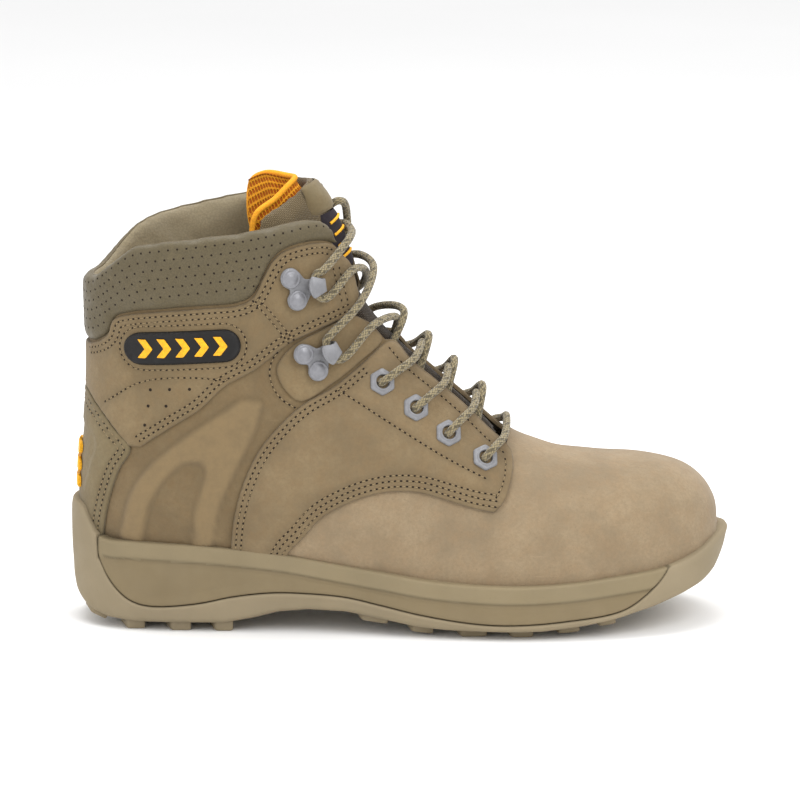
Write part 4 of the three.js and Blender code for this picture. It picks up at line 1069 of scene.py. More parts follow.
def heel_panel():
    """Wraps the back of the heel. Its unrolled outline runs past fraction -1, on to the inner side."""
    outer = from_side(smooth(HEEL_COVER_FRONT, 1.4))
    back = np.stack([outer[:, 0], -outer[:, 1]], 1)
    other = np.stack([outer[::-1, 0], outer[::-1, 1] - 2], 1)
    top = resample([[outer[0, 0], -outer[0, 1]], [outer[0, 0], outer[0, 1] - 2]], 0.012)
    low = resample([[outer[-1, 0], outer[-1, 1] - 2], [outer[-1, 0], -outer[-1, 1]]], 0.012)
    loop = np.vstack([back[::-1], top[1:-1], other[::-1], low[::-1][1:-1]])

    def shape(points):
        line = smooth(HEEL_INSET, 1.0)
        behind = ease((np.interp(points[:, 1], line[::-1, 1], line[::-1, 0]) - points[:, 0]) / 1.6)
        within = ease((points[:, 1] - 62) / 3) * ease((96 - points[:, 1]) / 3)
        return -0.8 * behind * within

    rows = [shifted(smooth(HEEL_COVER_FRONT[1:], 1.4), d) for d in (-2.4, -4.8)]
    return Panel(loop, OVERLAY_BASE, OVERLAY, rows, shape, puff=0.3, spacing=1.1)


PANELS = {
    "quarter": (quarter_panel, QUARTER_LEATHER, "nubuck_dark"),
    "saddle": (saddle_panel, SADDLE_LEATHER, "nubuck"),
    "ankle_panel": (ankle_panel, ANKLE_LEATHER, "nubuck"),
    "hook_panel": (hook_panel, ANKLE_LEATHER, "nubuck"),
}


def leather_panels():
    made = {}
    for name, (design, look, slot) in PANELS.items():
        panel = design()
        made[name] = panel
        for side_name, side in SIDES.items():
            piece = panel.build(f"{name}_{side_name}_leather", look, side)
            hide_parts(f"{name}_{side_name}")
            if panel.rows:
                thread = stitches(f"stitches_{name}_{side_name}", panel, panel.rows, side)
    heel = heel_panel()
    piece = heel.build("heel_cover_leather", HEEL_LEATHER, 1)
    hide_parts("heel_cover")
    for side_name, side in SIDES.items():
        thread = stitches(f"stitches_heel_{side_name}", heel, heel.rows, side)
    return made


# ---- Padding: cloth simulation of closed pads ----
PRESSURE = 4
CLOTH_FRAMES = 20


def mesh_tree(piece):
    """The piece's final surface in millimetres, for finding what lies on it."""
    piece.data.calc_loop_triangles()
    points = [v.co / MM for v in piece.data.vertices]
    return BVHTree.FromPolygons(points, [t.vertices for t in piece.data.loop_triangles], all_triangles=True)


def carry_map(piece, points, faces, across, down):
    """Puts the UV map "cloth" on a remeshed piece, taken from the nearest place of the mesh it started as."""
    triangles = [t for f in faces for t in ([f[0], f[1], f[2]], [f[0], f[2], f[3]])[:len(f) - 2]]
    tree = BVHTree.FromPolygons([Vector(p) for p in points], triangles, all_triangles=True)
    found = np.zeros((len(piece.data.vertices), 2))
    for k, vertex in enumerate(piece.data.vertices):
        place, _, index, _ = tree.find_nearest(vertex.co / MM)
        corners = triangles[index]
        weights = barycentric(np.array(place), *(np.asarray(points[i]) for i in corners))
        found[k] = (np.dot(weights, across[corners]), np.dot(weights, down[corners]))
    set_cloth_map(piece, found[:, 0], found[:, 1])


def barycentric(p, a, b, c):
    ab, ac, ap = b - a, c - a, p - a
    d00, d01, d11 = ab @ ab, ab @ ac, ac @ ac
    d20, d21 = ap @ ab, ap @ ac
    det = d00 * d11 - d01 * d01
    if abs(det) < 1e-9:
        return np.array([1.0, 0, 0])
    v = (d11 * d20 - d01 * d21) / det
    w = (d00 * d21 - d01 * d20) / det
    return np.array([1 - v - w, v, w])


def puffed(piece, voxel, cap, pinned):
    """Remeshes a closed pad, blows it up with cloth pressure, and caps how far any point may move."""
    scene = bpy.context.scene
    remesh = piece.modifiers.new("remesh", "REMESH")
    remesh.mode = "VOXEL"
    remesh.voxel_size = voxel * MM
    remesh.use_smooth_shade = True
    mesh = bpy.data.meshes.new_from_object(piece.evaluated_get(bpy.context.evaluated_depsgraph_get()))
    piece.modifiers.clear()
    piece.data = mesh
    rest = np.array([v.co for v in mesh.vertices]) / MM
    group = piece.vertex_groups.new(name="pinned")
    group.add([int(i) for i in np.flatnonzero(pinned(rest))], 1.0, "REPLACE")
    cloth = piece.modifiers.new("cloth", "CLOTH")
    cloth.settings.effector_weights.gravity = 0
    cloth.settings.use_pressure = True
    cloth.settings.uniform_pressure_force = PRESSURE
    cloth.settings.vertex_group_mass = "pinned"
    cloth.collision_settings.use_collision = False
    for number in range(1, CLOTH_FRAMES + 1):
        scene.frame_set(number)
    soft = piece.evaluated_get(bpy.context.evaluated_depsgraph_get()).to_mesh()
    moved = np.array([v.co for v in soft.vertices]) / MM - rest
    piece.modifiers.clear()
    scene.frame_set(1)
    length = np.linalg.norm(moved, axis=1, keepdims=True)
    rest = rest + moved * np.minimum(1, cap / np.maximum(length, 1e-6))
    mesh.vertices.foreach_set("co", (rest * MM).astype(np.float32).ravel())
    relaxed = piece.modifiers.new("relaxed", "SMOOTH")
    relaxed.factor, relaxed.iterations = 0.5, 3
    finer = piece.modifiers.new("finer", "SUBSURF")
    finer.levels = finer.render_levels = 1
    mesh = bpy.data.meshes.new_from_object(piece.evaluated_get(bpy.context.evaluated_depsgraph_get()))
    piece.modifiers.clear()
    piece.data = mesh
    mesh.polygons.foreach_set("use_smooth", np.ones(len(mesh.polygons), bool))
    return piece


# ---- Collar ----
COLLAR_OUTER = 2.5
COLLAR_INNER = -5.8
PERFORATION_PITCH = 4.3
PERFORATION_RADIUS = 0.5
PERFORATION_ROWS = 9


def collar_stations():
    """Fractions round the collar, from the outer front by the heel to the inner front, and its edges."""
    fractions, seams, tops = [], [], []
    for side, topline in ((-1, OUTER_TOPLINE), (1, INNER_TOPLINE)):
        seam = from_side(smooth(COLLAR_SEAM, 1.0))
        top = from_side(smooth(topline, 1.0))
        a = np.linspace(max(seam[:, 1].min(), top[:, 1].min()) + 0.004, 0.9995, 92)
        low, high = ring_at(seam, a), ring_at(top, a)
        if side > 0:
            a, low, high = a[::-1][1:], low[::-1][1:], high[::-1][1:]
        fractions.append(a * side)
        seams.append(low)
        tops.append(high)
    return np.concatenate(fractions), np.concatenate(seams), np.concatenate(tops)


def collar_section(height):
    """The closed section of the pad: height up the surface and offset, from the outer seam over the top."""
    full = ease(height / 12)
    outer = 0.4 + (COLLAR_OUTER - 0.4) * full
    inner = -2.6 + (COLLAR_INNER + 2.6) * full
    radius = min((outer - inner) / 2, height * 0.45)
    middle = (outer + inner) / 2
    angle = np.linspace(0, math.pi, 13)
    roll = np.stack([height - radius + radius * np.sin(angle),
                     middle + (outer - inner) / 2 * np.cos(angle)], 1)
    rise = np.linspace(0, 1, 9)[1:-1]
    face = np.stack([rise * (height - radius),
                     outer - (outer - 0.2) * (1 - ease(rise * (height - radius) / 3.5)) ** 2], 1)
    back = np.stack([rise[::-1] * (height - radius), np.full(len(rise), inner)], 1)
    return np.vstack([[[0, 0.1]], face, roll, back, [[0, inner + 1.2]], [[0, -1.2]]])


def collar():
    fractions, seams, tops = collar_stations()
    sections = []
    for v, low, high in zip(fractions, seams, tops):
        height = float(np.linalg.norm(surface(high, v) - surface(low, v)))
        section = collar_section(max(height, 1.5))
        u = low + (high - low) * section[:, 0] / max(height, 1.5)
        sections.append(offset_points(u, np.full(len(u), v), section[:, 1]))
    count = len(sections[0])
    points = np.vstack(sections)
    faces = grid_faces(len(sections), count, True)
    faces = facing_out(points, faces + end_faces(count, len(points)), outward_of(sections), faces)
    piece = make_piece("collar_leather", points, faces, [COLLAR_LOOK, COLLAR_INSIDE], sharp=None)
    seam_line = np.vstack([s[[0, -1]] for s in sections])
    puffed(piece, 2.6, 1.7, lambda rest: distance_to(rest, seam_line) < 3.6)
    face_collar_inwards(piece)
    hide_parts("collar_pad")
    perforations(piece, fractions, seams, tops)
    collar_piping(piece, fractions, tops)
    return piece


def face_collar_inwards(piece):
    """Gives the paler leather to the faces of the pad that look towards the leg."""
    count = len(piece.data.polygons)
    centre, normal = np.zeros(count * 3), np.zeros(count * 3)
    piece.data.polygons.foreach_get("center", centre)
    piece.data.polygons.foreach_get("normal", normal)
    centre, normal = centre.reshape(-1, 3), normal.reshape(-1, 3)
    away = unit((centre - [-0.09, 0, 0]) * [0.55, 1, 0])
    inward = (normal * away).sum(1) < -0.1
    piece.data.polygons.foreach_set("material_index", inward.astype(np.int32))
    piece.data.update()


def disc_parts(places, normals, radius, dish):
    """Small dark dished discs lying on a surface, painted shade standing in for holes: (points, faces)."""
    angle = turns(8)
    points, faces = [], []
    for place, normal in zip(places, normals):
        side = unit(np.cross(normal, [0.3, 0.2, 0.93]))
        front = np.cross(normal, side)
        circle = np.cos(angle)[:, None] * side + np.sin(angle)[:, None] * front
        rim = place + normal * 0.06 + radius * circle
        start = len(points) * 10
        points.append(np.vstack([rim, place + normal * (0.06 + dish), place - normal * 0.5]))
        faces += [[i + start for i in reversed(f)] for f in HOLE_FACES]
    return np.vstack(points), faces


def on_mesh(tree, start, direction, reach=9.0):
    """Where a line from outside first meets a mesh, and the normal there."""
    hit, normal, _, _ = tree.ray_cast(Vector(start + direction * reach), Vector(-direction), 2 * reach)
    return (None, None) if hit is None else (np.array(hit), np.array(normal))


def perforations(piece, fractions, seams, tops):
    """Rows of small holes over the collar's outer face, parallel to its top edge, drawn as discs of painted
    shade.
    """
    tree = mesh_tree(piece)
    places, normals = [], []
    distance = lengths_along(surface((seams + tops) / 2, fractions))
    heights = np.linalg.norm(surface(tops, fractions) - surface(seams, fractions), axis=1)
    unwrapped = fractions_unwrapped(fractions)
    for row in range(PERFORATION_ROWS):
        depth = 3.6 + row * PERFORATION_PITCH
        start = PERFORATION_PITCH * (0.5 if row % 2 else 0.0) + 3
        for s in np.arange(start, distance[-1] - 3, PERFORATION_PITCH):
            height = np.interp(s, distance, heights)
            if depth > height - 4:
                continue
            v = np.interp(s, distance, unwrapped)
            low = np.interp(s, distance, seams)
            high = np.interp(s, distance, tops)
            u = high - (high - low) * depth / height
            origin, _, _, normal = surface_frame(u, v)
            hit, up = on_mesh(tree, origin, normal)
            if hit is not None:
                places.append(hit)
                normals.append(up)
    points, faces = disc_parts(places, normals, PERFORATION_RADIUS, 0.05)
    made = make_piece("collar_perforations", points, faces, NEEDLE_HOLE, sharp=None)


def fractions_unwrapped(fractions):
    """Fractions that pass the heel without a jump: the outer side's are lowered from -1 on."""
    return np.where(fractions > 0, fractions - 2, fractions)


def round_sections(line, sizes, angle):
    """Points round a line, without twist. There is one size, or one row of sizes, for each of its points."""
    ahead = unit(np.gradient(line, axis=0))
    side = unit(np.cross(ahead[0], [0.13, 0.2, 0.97]))
    rings = []
    for centre, direction, size in zip(line, ahead, sizes):
        side = unit(side - direction * np.dot(side, direction))
        up = np.cross(direction, side)
        circle = np.cos(angle)[:, None] * side + np.sin(angle)[:, None] * up
        rings.append(centre + np.reshape(size, (-1, 1)) * circle)
    return np.vstack(rings)


def tube_parts(line, radius, sides=8):
    """A round tube along a line of points in millimetres, closed at both ends."""
    points = round_sections(line, np.broadcast_to(radius, len(line)), turns(sides))
    return points, flipped(grid_faces(len(line), sides, True) + end_faces(sides, len(points)))


def collar_piping(piece, fractions, tops):
    """The folded seam that runs along the top of the collar, between its outer and inner leather."""
    tree = mesh_tree(piece)
    line = []
    for v, high in zip(fractions[6:-6], tops[6:-6]):
        origin = offset_points(high, v, -2.6)
        up = surface_frame(high, v)[1]
        hit, _ = on_mesh(tree, origin, up, 12)
        if hit is not None:
            line.append(hit - up * 0.15)
    points, faces = tube_parts(smooth_3d(np.array(line), 1.5), 0.55)
    made = make_piece("collar_top_seam", points, faces, LINING_LOOK, sharp=None)


def smooth_3d(points, spacing, times=2):
    for _ in range(times):
        points = np.vstack([points[:1], (points[:-2] + 2 * points[1:-1] + points[2:]) / 4, points[-1:]])
    return resample(points, spacing)


# ---- Tongue: offsets and half widths at each ring ----
TONGUE_CROWN = [[7.3, -2.8], [8, -2.8], [16, -2.6], [17.4, -3], [18.6, -6]]
TONGUE_WING = [[7.3, -5], [7.9, -9], [9, -9.8], [13, -10], [15, -13], [18.6, -13.6]]
TONGUE_SHOULDER = [[16.9, 0.1], [18, 0.2]]
TONGUE_THICKNESS = [[7.3, 2.5], [9, 4], [14, 6.5], [17, 8], [18.6, 7]]
TONGUE_HALF = [[7.3, 0.12], [8.3, 0.19], [10, 0.23], [13, 0.25], [16, 0.32], [17.6, 0.36], [18.6, 0.32]]
MESH_GAP = 0.84               # between the pad and its mesh lining
THIN_END = 0.04               # share of the rows at the tip that are thinner
TONGUE_LEAN = (-0.42, 0.36)   # rings by which the outer wing ends lower and the inner one higher


def leaning(u, v):
    """The ring number moved so that the wing on the outer side ends lower than the other one."""
    low, high = TONGUE_LEAN
    side = low + (high - low) * ease(v / 0.36 + 0.5)
    return np.minimum(u + side * ease((u - 15.5) / 3) * ease(np.abs(v) / 0.2), LAST_RING)


def tongue_front(u, v):
    t = ease(np.abs(v) / height_on(TONGUE_SHOULDER, u))
    return height_on(TONGUE_CROWN, u) * (1 - t) + height_on(TONGUE_WING, u) * t


def tongue_band(low, high, rows, columns, front, back, squeeze=0.0):
    """A closed pad that follows the tongue between two rings: (points, faces, across, down)."""
    u = np.linspace(low, high, rows)
    edge = np.linspace(-1, 1, columns)
    sections, across, down = [], [], []
    length = lengths_along(surface(u, np.zeros(rows)))
    for k, ring in enumerate(u):
        half = height_on(TONGUE_HALF, ring) - squeeze
        v = edge * half
        top, low_side = front(ring, v), back(ring, v)
        middle = (top + low_side) / 2
        end = math.sqrt(0.5) if (rows - 1 - k) / (rows - 1) < THIN_END else 1.0
        round_off = np.sqrt(np.clip(1 - np.abs(edge) ** 10, 0.05, 1)) * end
        thick = (top - low_side) / 2 * round_off
        ring_u = leaning(ring, v)
        face = offset_points(ring_u, v, middle + thick)
        rear = offset_points(ring_u, v, middle - thick)
        sections.append(np.vstack([face, rear[::-1]]))
        spread = lengths_along(face)
        spread -= spread[-1] / 2
        across.append(np.concatenate([spread, spread[::-1]]))
        down.append(np.full(2 * columns, length[k]))
    points, faces = np.vstack(sections), strip_faces(rows, columns)
    return points, faces, np.concatenate(across), np.concatenate(down), sections


def outward_of(sections):
    return np.vstack([s - s.mean(0) for s in sections])


def tongue():
    def back(u, v):
        return tongue_front(u, v) - height_on(TONGUE_THICKNESS, u) + 0.6

    def front(u, v):
        return tongue_front(u, v) - 0.7

    points, faces, across, down, sections = tongue_band(7.3, 18.5, 90, 34, front, back, 0.004)
    faces = facing_out(points, faces, outward_of(sections))
    piece = make_piece("tongue_pad", points, faces, TONGUE_LOOK, TONGUE, sharp=None)
    root = sections[0]
    puffed(piece, 2.4, 1.3, lambda rest: distance_to(rest, np.vstack([root, sections[3]])) < 6)
    carry_map(piece, points, faces, across, down)
    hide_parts("tongue")

    def mesh_front(u, v):
        return tongue_front(u, v) - height_on(TONGUE_THICKNESS, u) - MESH_GAP

    def mesh_back(u, v):
        return mesh_front(u, v) - 2.6

    points, faces, across, down, sections = tongue_band(8.8, 18.62, 66, 34, mesh_front, mesh_back)
    faces = facing_out(points, faces, outward_of(sections))
    lining = make_piece("tongue_mesh_lining", points, faces, ORANGE, TONGUE, sharp=None)
    set_cloth_map(lining, across, down)
    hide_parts("tongue_lining")
    return piece


def tongue_edge_binding():
    """The orange binding round the top of the tongue."""
    side_rings = np.linspace(14.2, 18.55, 26)
    line = []
    for u in side_rings:
        line.append(edge_point(u, -height_on(TONGUE_HALF, u)))
    for v in np.linspace(-1, 1, 40)[1:-1] * height_on(TONGUE_HALF, 18.6):
        line.append(edge_point(18.62, v))
    for u in side_rings[::-1]:
        line.append(edge_point(u, height_on(TONGUE_HALF, u)))
    points, faces = tube_parts(smooth_3d(np.array(line), 1.2, 4), 1.35, 12)
    made = make_piece("tongue_binding", points, faces, ORANGE_BINDING, TONGUE, sharp=None)


def edge_point(u, v):
    middle = tongue_front(u, v) - height_on(TONGUE_THICKNESS, u) - 0.8
    return offset_points(leaning(u, v), v, middle)


def curved_patch(rings, half, front, thickness, columns=15, rows=24):
    """A thin plate with rounded edges on the front of the tongue: (points, faces)."""
    u = np.linspace(*rings, rows)
    edge = np.linspace(-1, 1, columns)
    sections = []
    for k, ring in enumerate(u):
        v = edge * half
        end = min(1.0, 0.3 + 0.35 * min(k, rows - 1 - k))
        lift = front(ring, v) + thickness * np.sqrt(np.clip(1 - edge ** 8, 0.15, 1)) * end
        ring_u = np.full(columns, ring)
        sections.append(np.vstack([offset_points(ring_u, v, lift), offset_points(ring_u, v[::-1],
                                                                                 front(ring, v[::-1]))]))
    points = np.vstack(sections)
    return points, facing_out(points, strip_faces(rows, columns), outward_of(sections))


def tongue_trim():
    def front(u, v):
        return tongue_front(u, v) + 0.35

    def tab_front(u, v):
        return tongue_front(u, v) - 0.8 * ease((u - 17.6) / 0.6)

    points, faces = curved_patch((14.5, 16.95), 0.055, front, 1.0)
    label = make_piece("tongue_label_cloth", points, faces, LABEL_CLOTH, TONGUE)
    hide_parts("tongue_label")
    bars = []
    for ring in (15.0, 15.5, 16.0, 16.5):
        line = [offset_points(ring + 0.16 * (1 - abs(s)), 0.042 * s, front(ring, 0.042 * s) + 1.25)
                for s in np.linspace(-1, 1, 9)]
        bars.append(tube_parts(np.array(line), 0.7, 8))
    points, faces = join_meshes(bars)
    mark = make_piece("tongue_label_bars", points, faces, YELLOW_RUBBER, TONGUE, sharp=None)
    points, faces = curved_patch((17.0, 18.3), 0.1, tab_front, 1.4, 21)
    tab = make_piece("tongue_tab_leather", points, faces, HEEL_LEATHER, TONGUE)
    leave_unmarked(tab)
    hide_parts("tongue_tab")


# ---- Sole: lines in side view, and its edge as distances from a centre line seen from above ----
PARTING_LINE = [[-141.5, 46], [-141, 34], [-135, 22.5], [-127, 14.8], [-118, 12], [-95, 13.6], [-78, 17.2],
                [-60, 19.4], [-43, 19.4], [-25, 18.2], [-9, 15.1], [9, 11.4], [34, 8], [51, 7.4], [77, 9],
                [104, 13], [115, 20], [122, 26.7], [127, 34]]
ROOT_LINE = [
    [-154, 24], [-152.5, 17], [-149, 11.5], [-144, 7.5], [-136, 5], [-124, 4], [-82, 4.3], [-68, 7],
    [-57, 10], [-43, 11.5], [-25, 11], [-10, 8.5], [8, 5.2], [22, 4.2], [50, 4], [66, 4.2], [85, 6.3],
    [104, 9.8], [118, 13.2], [131, 17.5], [140, 21], [146, 25], [150, 31], [153.5, 38],
]
SOLE_PLAN = [
    [-153.8, 4], [-152.6, 10], [-149, 17.5], [-143, 23.5], [-135, 28.5], [-123, 32.5], [-105, 35.2],
    [-85, 36.2], [-65, 37.2], [-45, 38.8], [-25, 41.4], [-5, 45], [15, 48.6], [35, 51.4], [55, 52.6],
    [75, 52], [95, 49.6], [110, 45.8], [122, 41.4], [132, 36.4], [140, 30.5], [146, 23.5], [150, 16.5],
    [152.5, 10], [153.8, 4],
]
SOLE_CENTRE = [[-154, 0], [60, 0], [90, 1.5], [120, 3.2], [140, 4.3], [154, 5]]
BAND_HEIGHT = 8.2          # of the plain band along the top of the sole
PARTED = (-141.2, 126.8)   # where the midsole shows, between the heel and toe ends of the outsole
OUTSOLE_PROUD = 0.7
UNDER_UPPER = 0.9          # how far the sole's top edge reaches in under the upper
MIDSOLE_TUCK = 3.0         # how far it reaches in over the outsole
WALL_STEP = 1.1
EDGE_LUGS = [
    [-143.5, 8.5], [-125.4, 9], [-104.2, 10], [-84, 9], [-13.6, 13], [8.6, 10.5], [32.6, 13], [55, 11],
    [77, 10.5], [95, 8.5],
]
TOE_LUGS = [110, 124]
CENTRE_LUGS = [-128, -112, -96, 12, 30, 48, 66, 84, 102, 118]
TREAD = 4.0


def sole_loop():
    """The sole's edge from above, from the heel along the outer side and back along the inner side."""
    plan = np.array(SOLE_PLAN)
    centre = height_on(SOLE_CENTRE, plan[:, 0])
    outer = np.stack([plan[:, 0], centre - plan[:, 1]], 1)
    inner = np.stack([plan[::-1, 0], centre[::-1] + plan[::-1, 1]], 1)
    loop = smooth(np.vstack([outer, inner]), WALL_STEP, closed=True)[:-1]
    ahead = unit(np.roll(loop, -1, axis=0) - np.roll(loop, 1, axis=0))
    return loop, np.stack([ahead[:, 1], -ahead[:, 0]], 1)


def gap_to_upper(loop, outward, height):
    """How far the upper's surface lies inwards of the sole's edge at a height."""
    u = np.linspace(0, 14, 240)
    v = np.linspace(-1, 1, 241)
    grid = surface(*np.meshgrid(u, v, indexing="ij"))
    tree = BVHTree.FromPolygons(grid.reshape(-1, 3).tolist(), grid_faces(len(u), len(v)))
    gaps = []
    for p, n, z in zip(loop, outward, height):
        start = Vector((p[0] + n[0] * 6, p[1] + n[1] * 6, z))
        hit = tree.ray_cast(start, Vector((-n[0], -n[1], 0)), 40)[0]
        gaps.append(4.0 if hit is None else (hit - start).length - 6)
    return np.clip(np.array(gaps), 0.5, 9)


def rounded(distance, radius):
    """How far an edge of the given radius is drawn back at a distance from it."""
    d = np.clip(distance / radius, 0, 1)
    return -radius * (1 - np.sqrt(1 - (1 - d) ** 2))


def wall_bulge(z, top, root):
    """The plain profile of the sole's side: slightly full in the middle and drawn in at the ground."""
    share = np.clip((top - z) / (top - root), 0, 1)
    return 0.6 * np.sin(np.minimum(share / 0.55, 1) * math.pi / 2) - 0.9 * ease((share - 0.6) / 0.4)


def wall_points(loop, outward, heights, moves):
    """Rows of points on the sole's side, from its edge seen from above."""
    points = np.zeros((len(heights), len(loop), 3))
    points[..., 0] = loop[:, 0] + outward[:, 0] * moves
    points[..., 1] = loop[:, 1] + outward[:, 1] * moves
    points[..., 2] = heights
    return points


def midsole_rows(high, low, inset):
    """Heights of the rows of points down the midsole's side, and how far each lies outside the edge."""
    flat = np.zeros(len(high))
    shoulder, sill = high - 1.1, low + 0.9
    rows = [(high, -(inset + UNDER_UPPER)), (high, flat - 1.3)]
    rows += [(high - d, flat + rounded(d, 1.2)) for d in (0, 0.12, 0.5, 1.1)]
    rows += [(shoulder + (sill - shoulder) * t, flat) for t in np.linspace(0, 1, 30)[1:]]
    rows += [(low + d, flat) for d in (0.5, 0.2, 0.0)]
    rows.append((low, flat - MIDSOLE_TUCK))
    return tuple(np.array(part) for part in zip(*rows))


def midsole_side(p, outward, high, ground, inset):
    """One side of the midsole: (points, faces), the look of each face, and the painted shade at each point
    along its band line and parting line.
    """
    low = np.minimum(height_on(smooth(PARTING_LINE[1:], 0.5), p[:, 0]) + 0.35, high - 6)
    rows, moves = midsole_rows(high, low, inset)
    seen = np.stack([np.broadcast_to(p[:, 0], rows.shape).ravel(), rows.ravel()], 1)
    sill = distance_to(seen, smooth(PARTING_LINE, 0.5)).reshape(rows.shape)
    below = high - rows
    fade = ease((p[:, 0] + 141) / 4) * ease((127 - p[:, 0]) / 4)
    line = 0.55 * np.exp(-((below - BAND_HEIGHT) / 0.62) ** 2) * fade
    panel = 0.75 * ease((below - BAND_HEIGHT) / 2) * ease((sill - 0.5) / 5) * fade
    shaped = wall_bulge(rows, high, ground) - line - panel + np.where(sill < 1.1, rounded(sill, 1.1), 0)
    moves[2:-1] = np.maximum(moves[2:-1] + shaped[2:-1], -MIDSOLE_TUCK)
    facing = np.zeros((*rows.shape, 3))
    facing[..., :2] = outward
    facing[:2, :, 2] = 1
    points = wall_points(p, outward, rows, moves).reshape(-1, 3)
    faces = grid_faces(len(rows), len(p))
    faces = facing_out(points, faces, facing.reshape(-1, 3), faces[5 * len(p):])
    middle = (below[:-1] + below[1:]) / 2
    looks = (middle[:, :-1] < BAND_HEIGHT).astype(int).ravel().tolist()
    # Painted shade along the band's sunk line and at the parting line.
    return (points, faces), looks, np.maximum(line, np.exp(-(sill / 0.5) ** 2)).ravel()


def midsole(loop, outward, top, root, gap):
    """Both sides of the midsole, between the parting line and the upper."""
    parts, looks, grooves = [], [], []
    for side in (-1, 1):
        chosen = np.where((loop[:, 0] > PARTED[0]) & (loop[:, 0] < PARTED[1])
                          & (np.sign(loop[:, 1] - height_on(SOLE_CENTRE, loop[:, 0])) == side))[0]
        chosen = chosen[np.argsort(loop[chosen, 0])]
        mesh, side_looks, groove_shade = midsole_side(*(part[chosen] for part in (loop, outward, top, root, gap)))
        parts.append(mesh)
        looks += side_looks
        grooves.append(groove_shade)
    points, faces = join_meshes(parts)
    piece = make_piece("midsole_rubber", points, faces, [MIDSOLE_LOOK, BAND_LOOK], face_looks=looks, sharp=65)
    set_attribute(piece, "groove_shade", np.concatenate(grooves))
    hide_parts("midsole")


def sole_bottom(rim):
    """The underside inside its rim, following the root line of the tread."""
    low, high = rim[:, :2].min(0), rim[:, :2].max(0)
    grid = np.array([(x, y) for x in np.arange(low[0] + 4, high[0], 5.0)
                     for y in np.arange(low[1] + 2, high[1], 5.0)])
    grid = grid[inside(grid, rim[:, :2])]
    grid = grid[distance_to(grid, rim[:, :2]) > 2.5]
    flat = np.vstack([rim[:, :2], grid])
    made = delaunay_2d_cdt([Vector(p) for p in flat], [], [list(range(len(rim)))], 1, 0.001)
    points = np.array([tuple(p) for p in made[0]])
    height = height_on(ROOT_LINE, points[:, 0])
    return np.c_[points, height], flipped([list(f) for f in made[2]])


def lug(x, y, length, width, slant=0.0, depth=TREAD):
    """One block of the tread, with rounded corners and chamfered edges."""
    root = float(height_on(ROOT_LINE, x))
    bottom = max(0.0, root - depth - 0.3)
    rise = root + 1.2 - bottom
    tilt = math.atan2(height_on(ROOT_LINE, x + 4) - height_on(ROOT_LINE, x - 4), 8) if bottom > 0.5 else 0.0
    corners = []
    for turn in range(16):
        angle = (turn + 0.5) * math.pi / 8
        a, b = math.cos(angle), math.sin(angle)
        a, b = np.sign(a) * abs(a) ** 0.25, np.sign(b) * abs(b) ** 0.25
        corners.append([a * length / 2 + np.sign(b) * slant * abs(b), b * width / 2])
    corners = np.array(corners)
    middle = corners.mean(0)
    rings = []
    for height, inset in ((rise, 0.0), (0.9, 0.0), (0.3, 0.25), (0.0, 0.85)):
        shrink = 1 - inset / np.array([length / 2, width / 2])
        rings.append(np.c_[middle + (corners - middle) * shrink, np.full(len(corners), height)])
    points = np.vstack(rings + [np.r_[middle, 0.0][None, :]])
    count = len(corners)
    faces = grid_faces(len(rings), count, True)
    faces += [[len(points) - 1, 3 * count + j, 3 * count + (j + 1) % count] for j in range(count)]
    c, s = math.cos(tilt), math.sin(tilt)
    px, py, pz = points.T
    turned = np.stack([px * c - pz * s, py, px * s + pz * c], 1)
    turned += [x, y, bottom + abs(s) * length / 2]
    return turned, facing_out(turned, faces, turned - turned.mean(0))


def tread():
    lugs = []
    for side in (-1, 1):
        for x, length in EDGE_LUGS:
            half = float(height_on(SOLE_PLAN, x))
            y = float(height_on(SOLE_CENTRE, x)) + side * half * 0.7
            lugs.append(lug(x, y, length, min(17, half * 0.45), side * 2))
        for x in TOE_LUGS:
            y = float(height_on(SOLE_CENTRE, x)) + side * float(height_on(SOLE_PLAN, x)) * 0.6
            lugs.append(lug(x, y, 9, 12, side * 3, 2))
    for x in CENTRE_LUGS:
        lugs.append(lug(x, float(height_on(SOLE_CENTRE, x)), 8, float(height_on(SOLE_PLAN, x)) * 0.5))
    return lugs


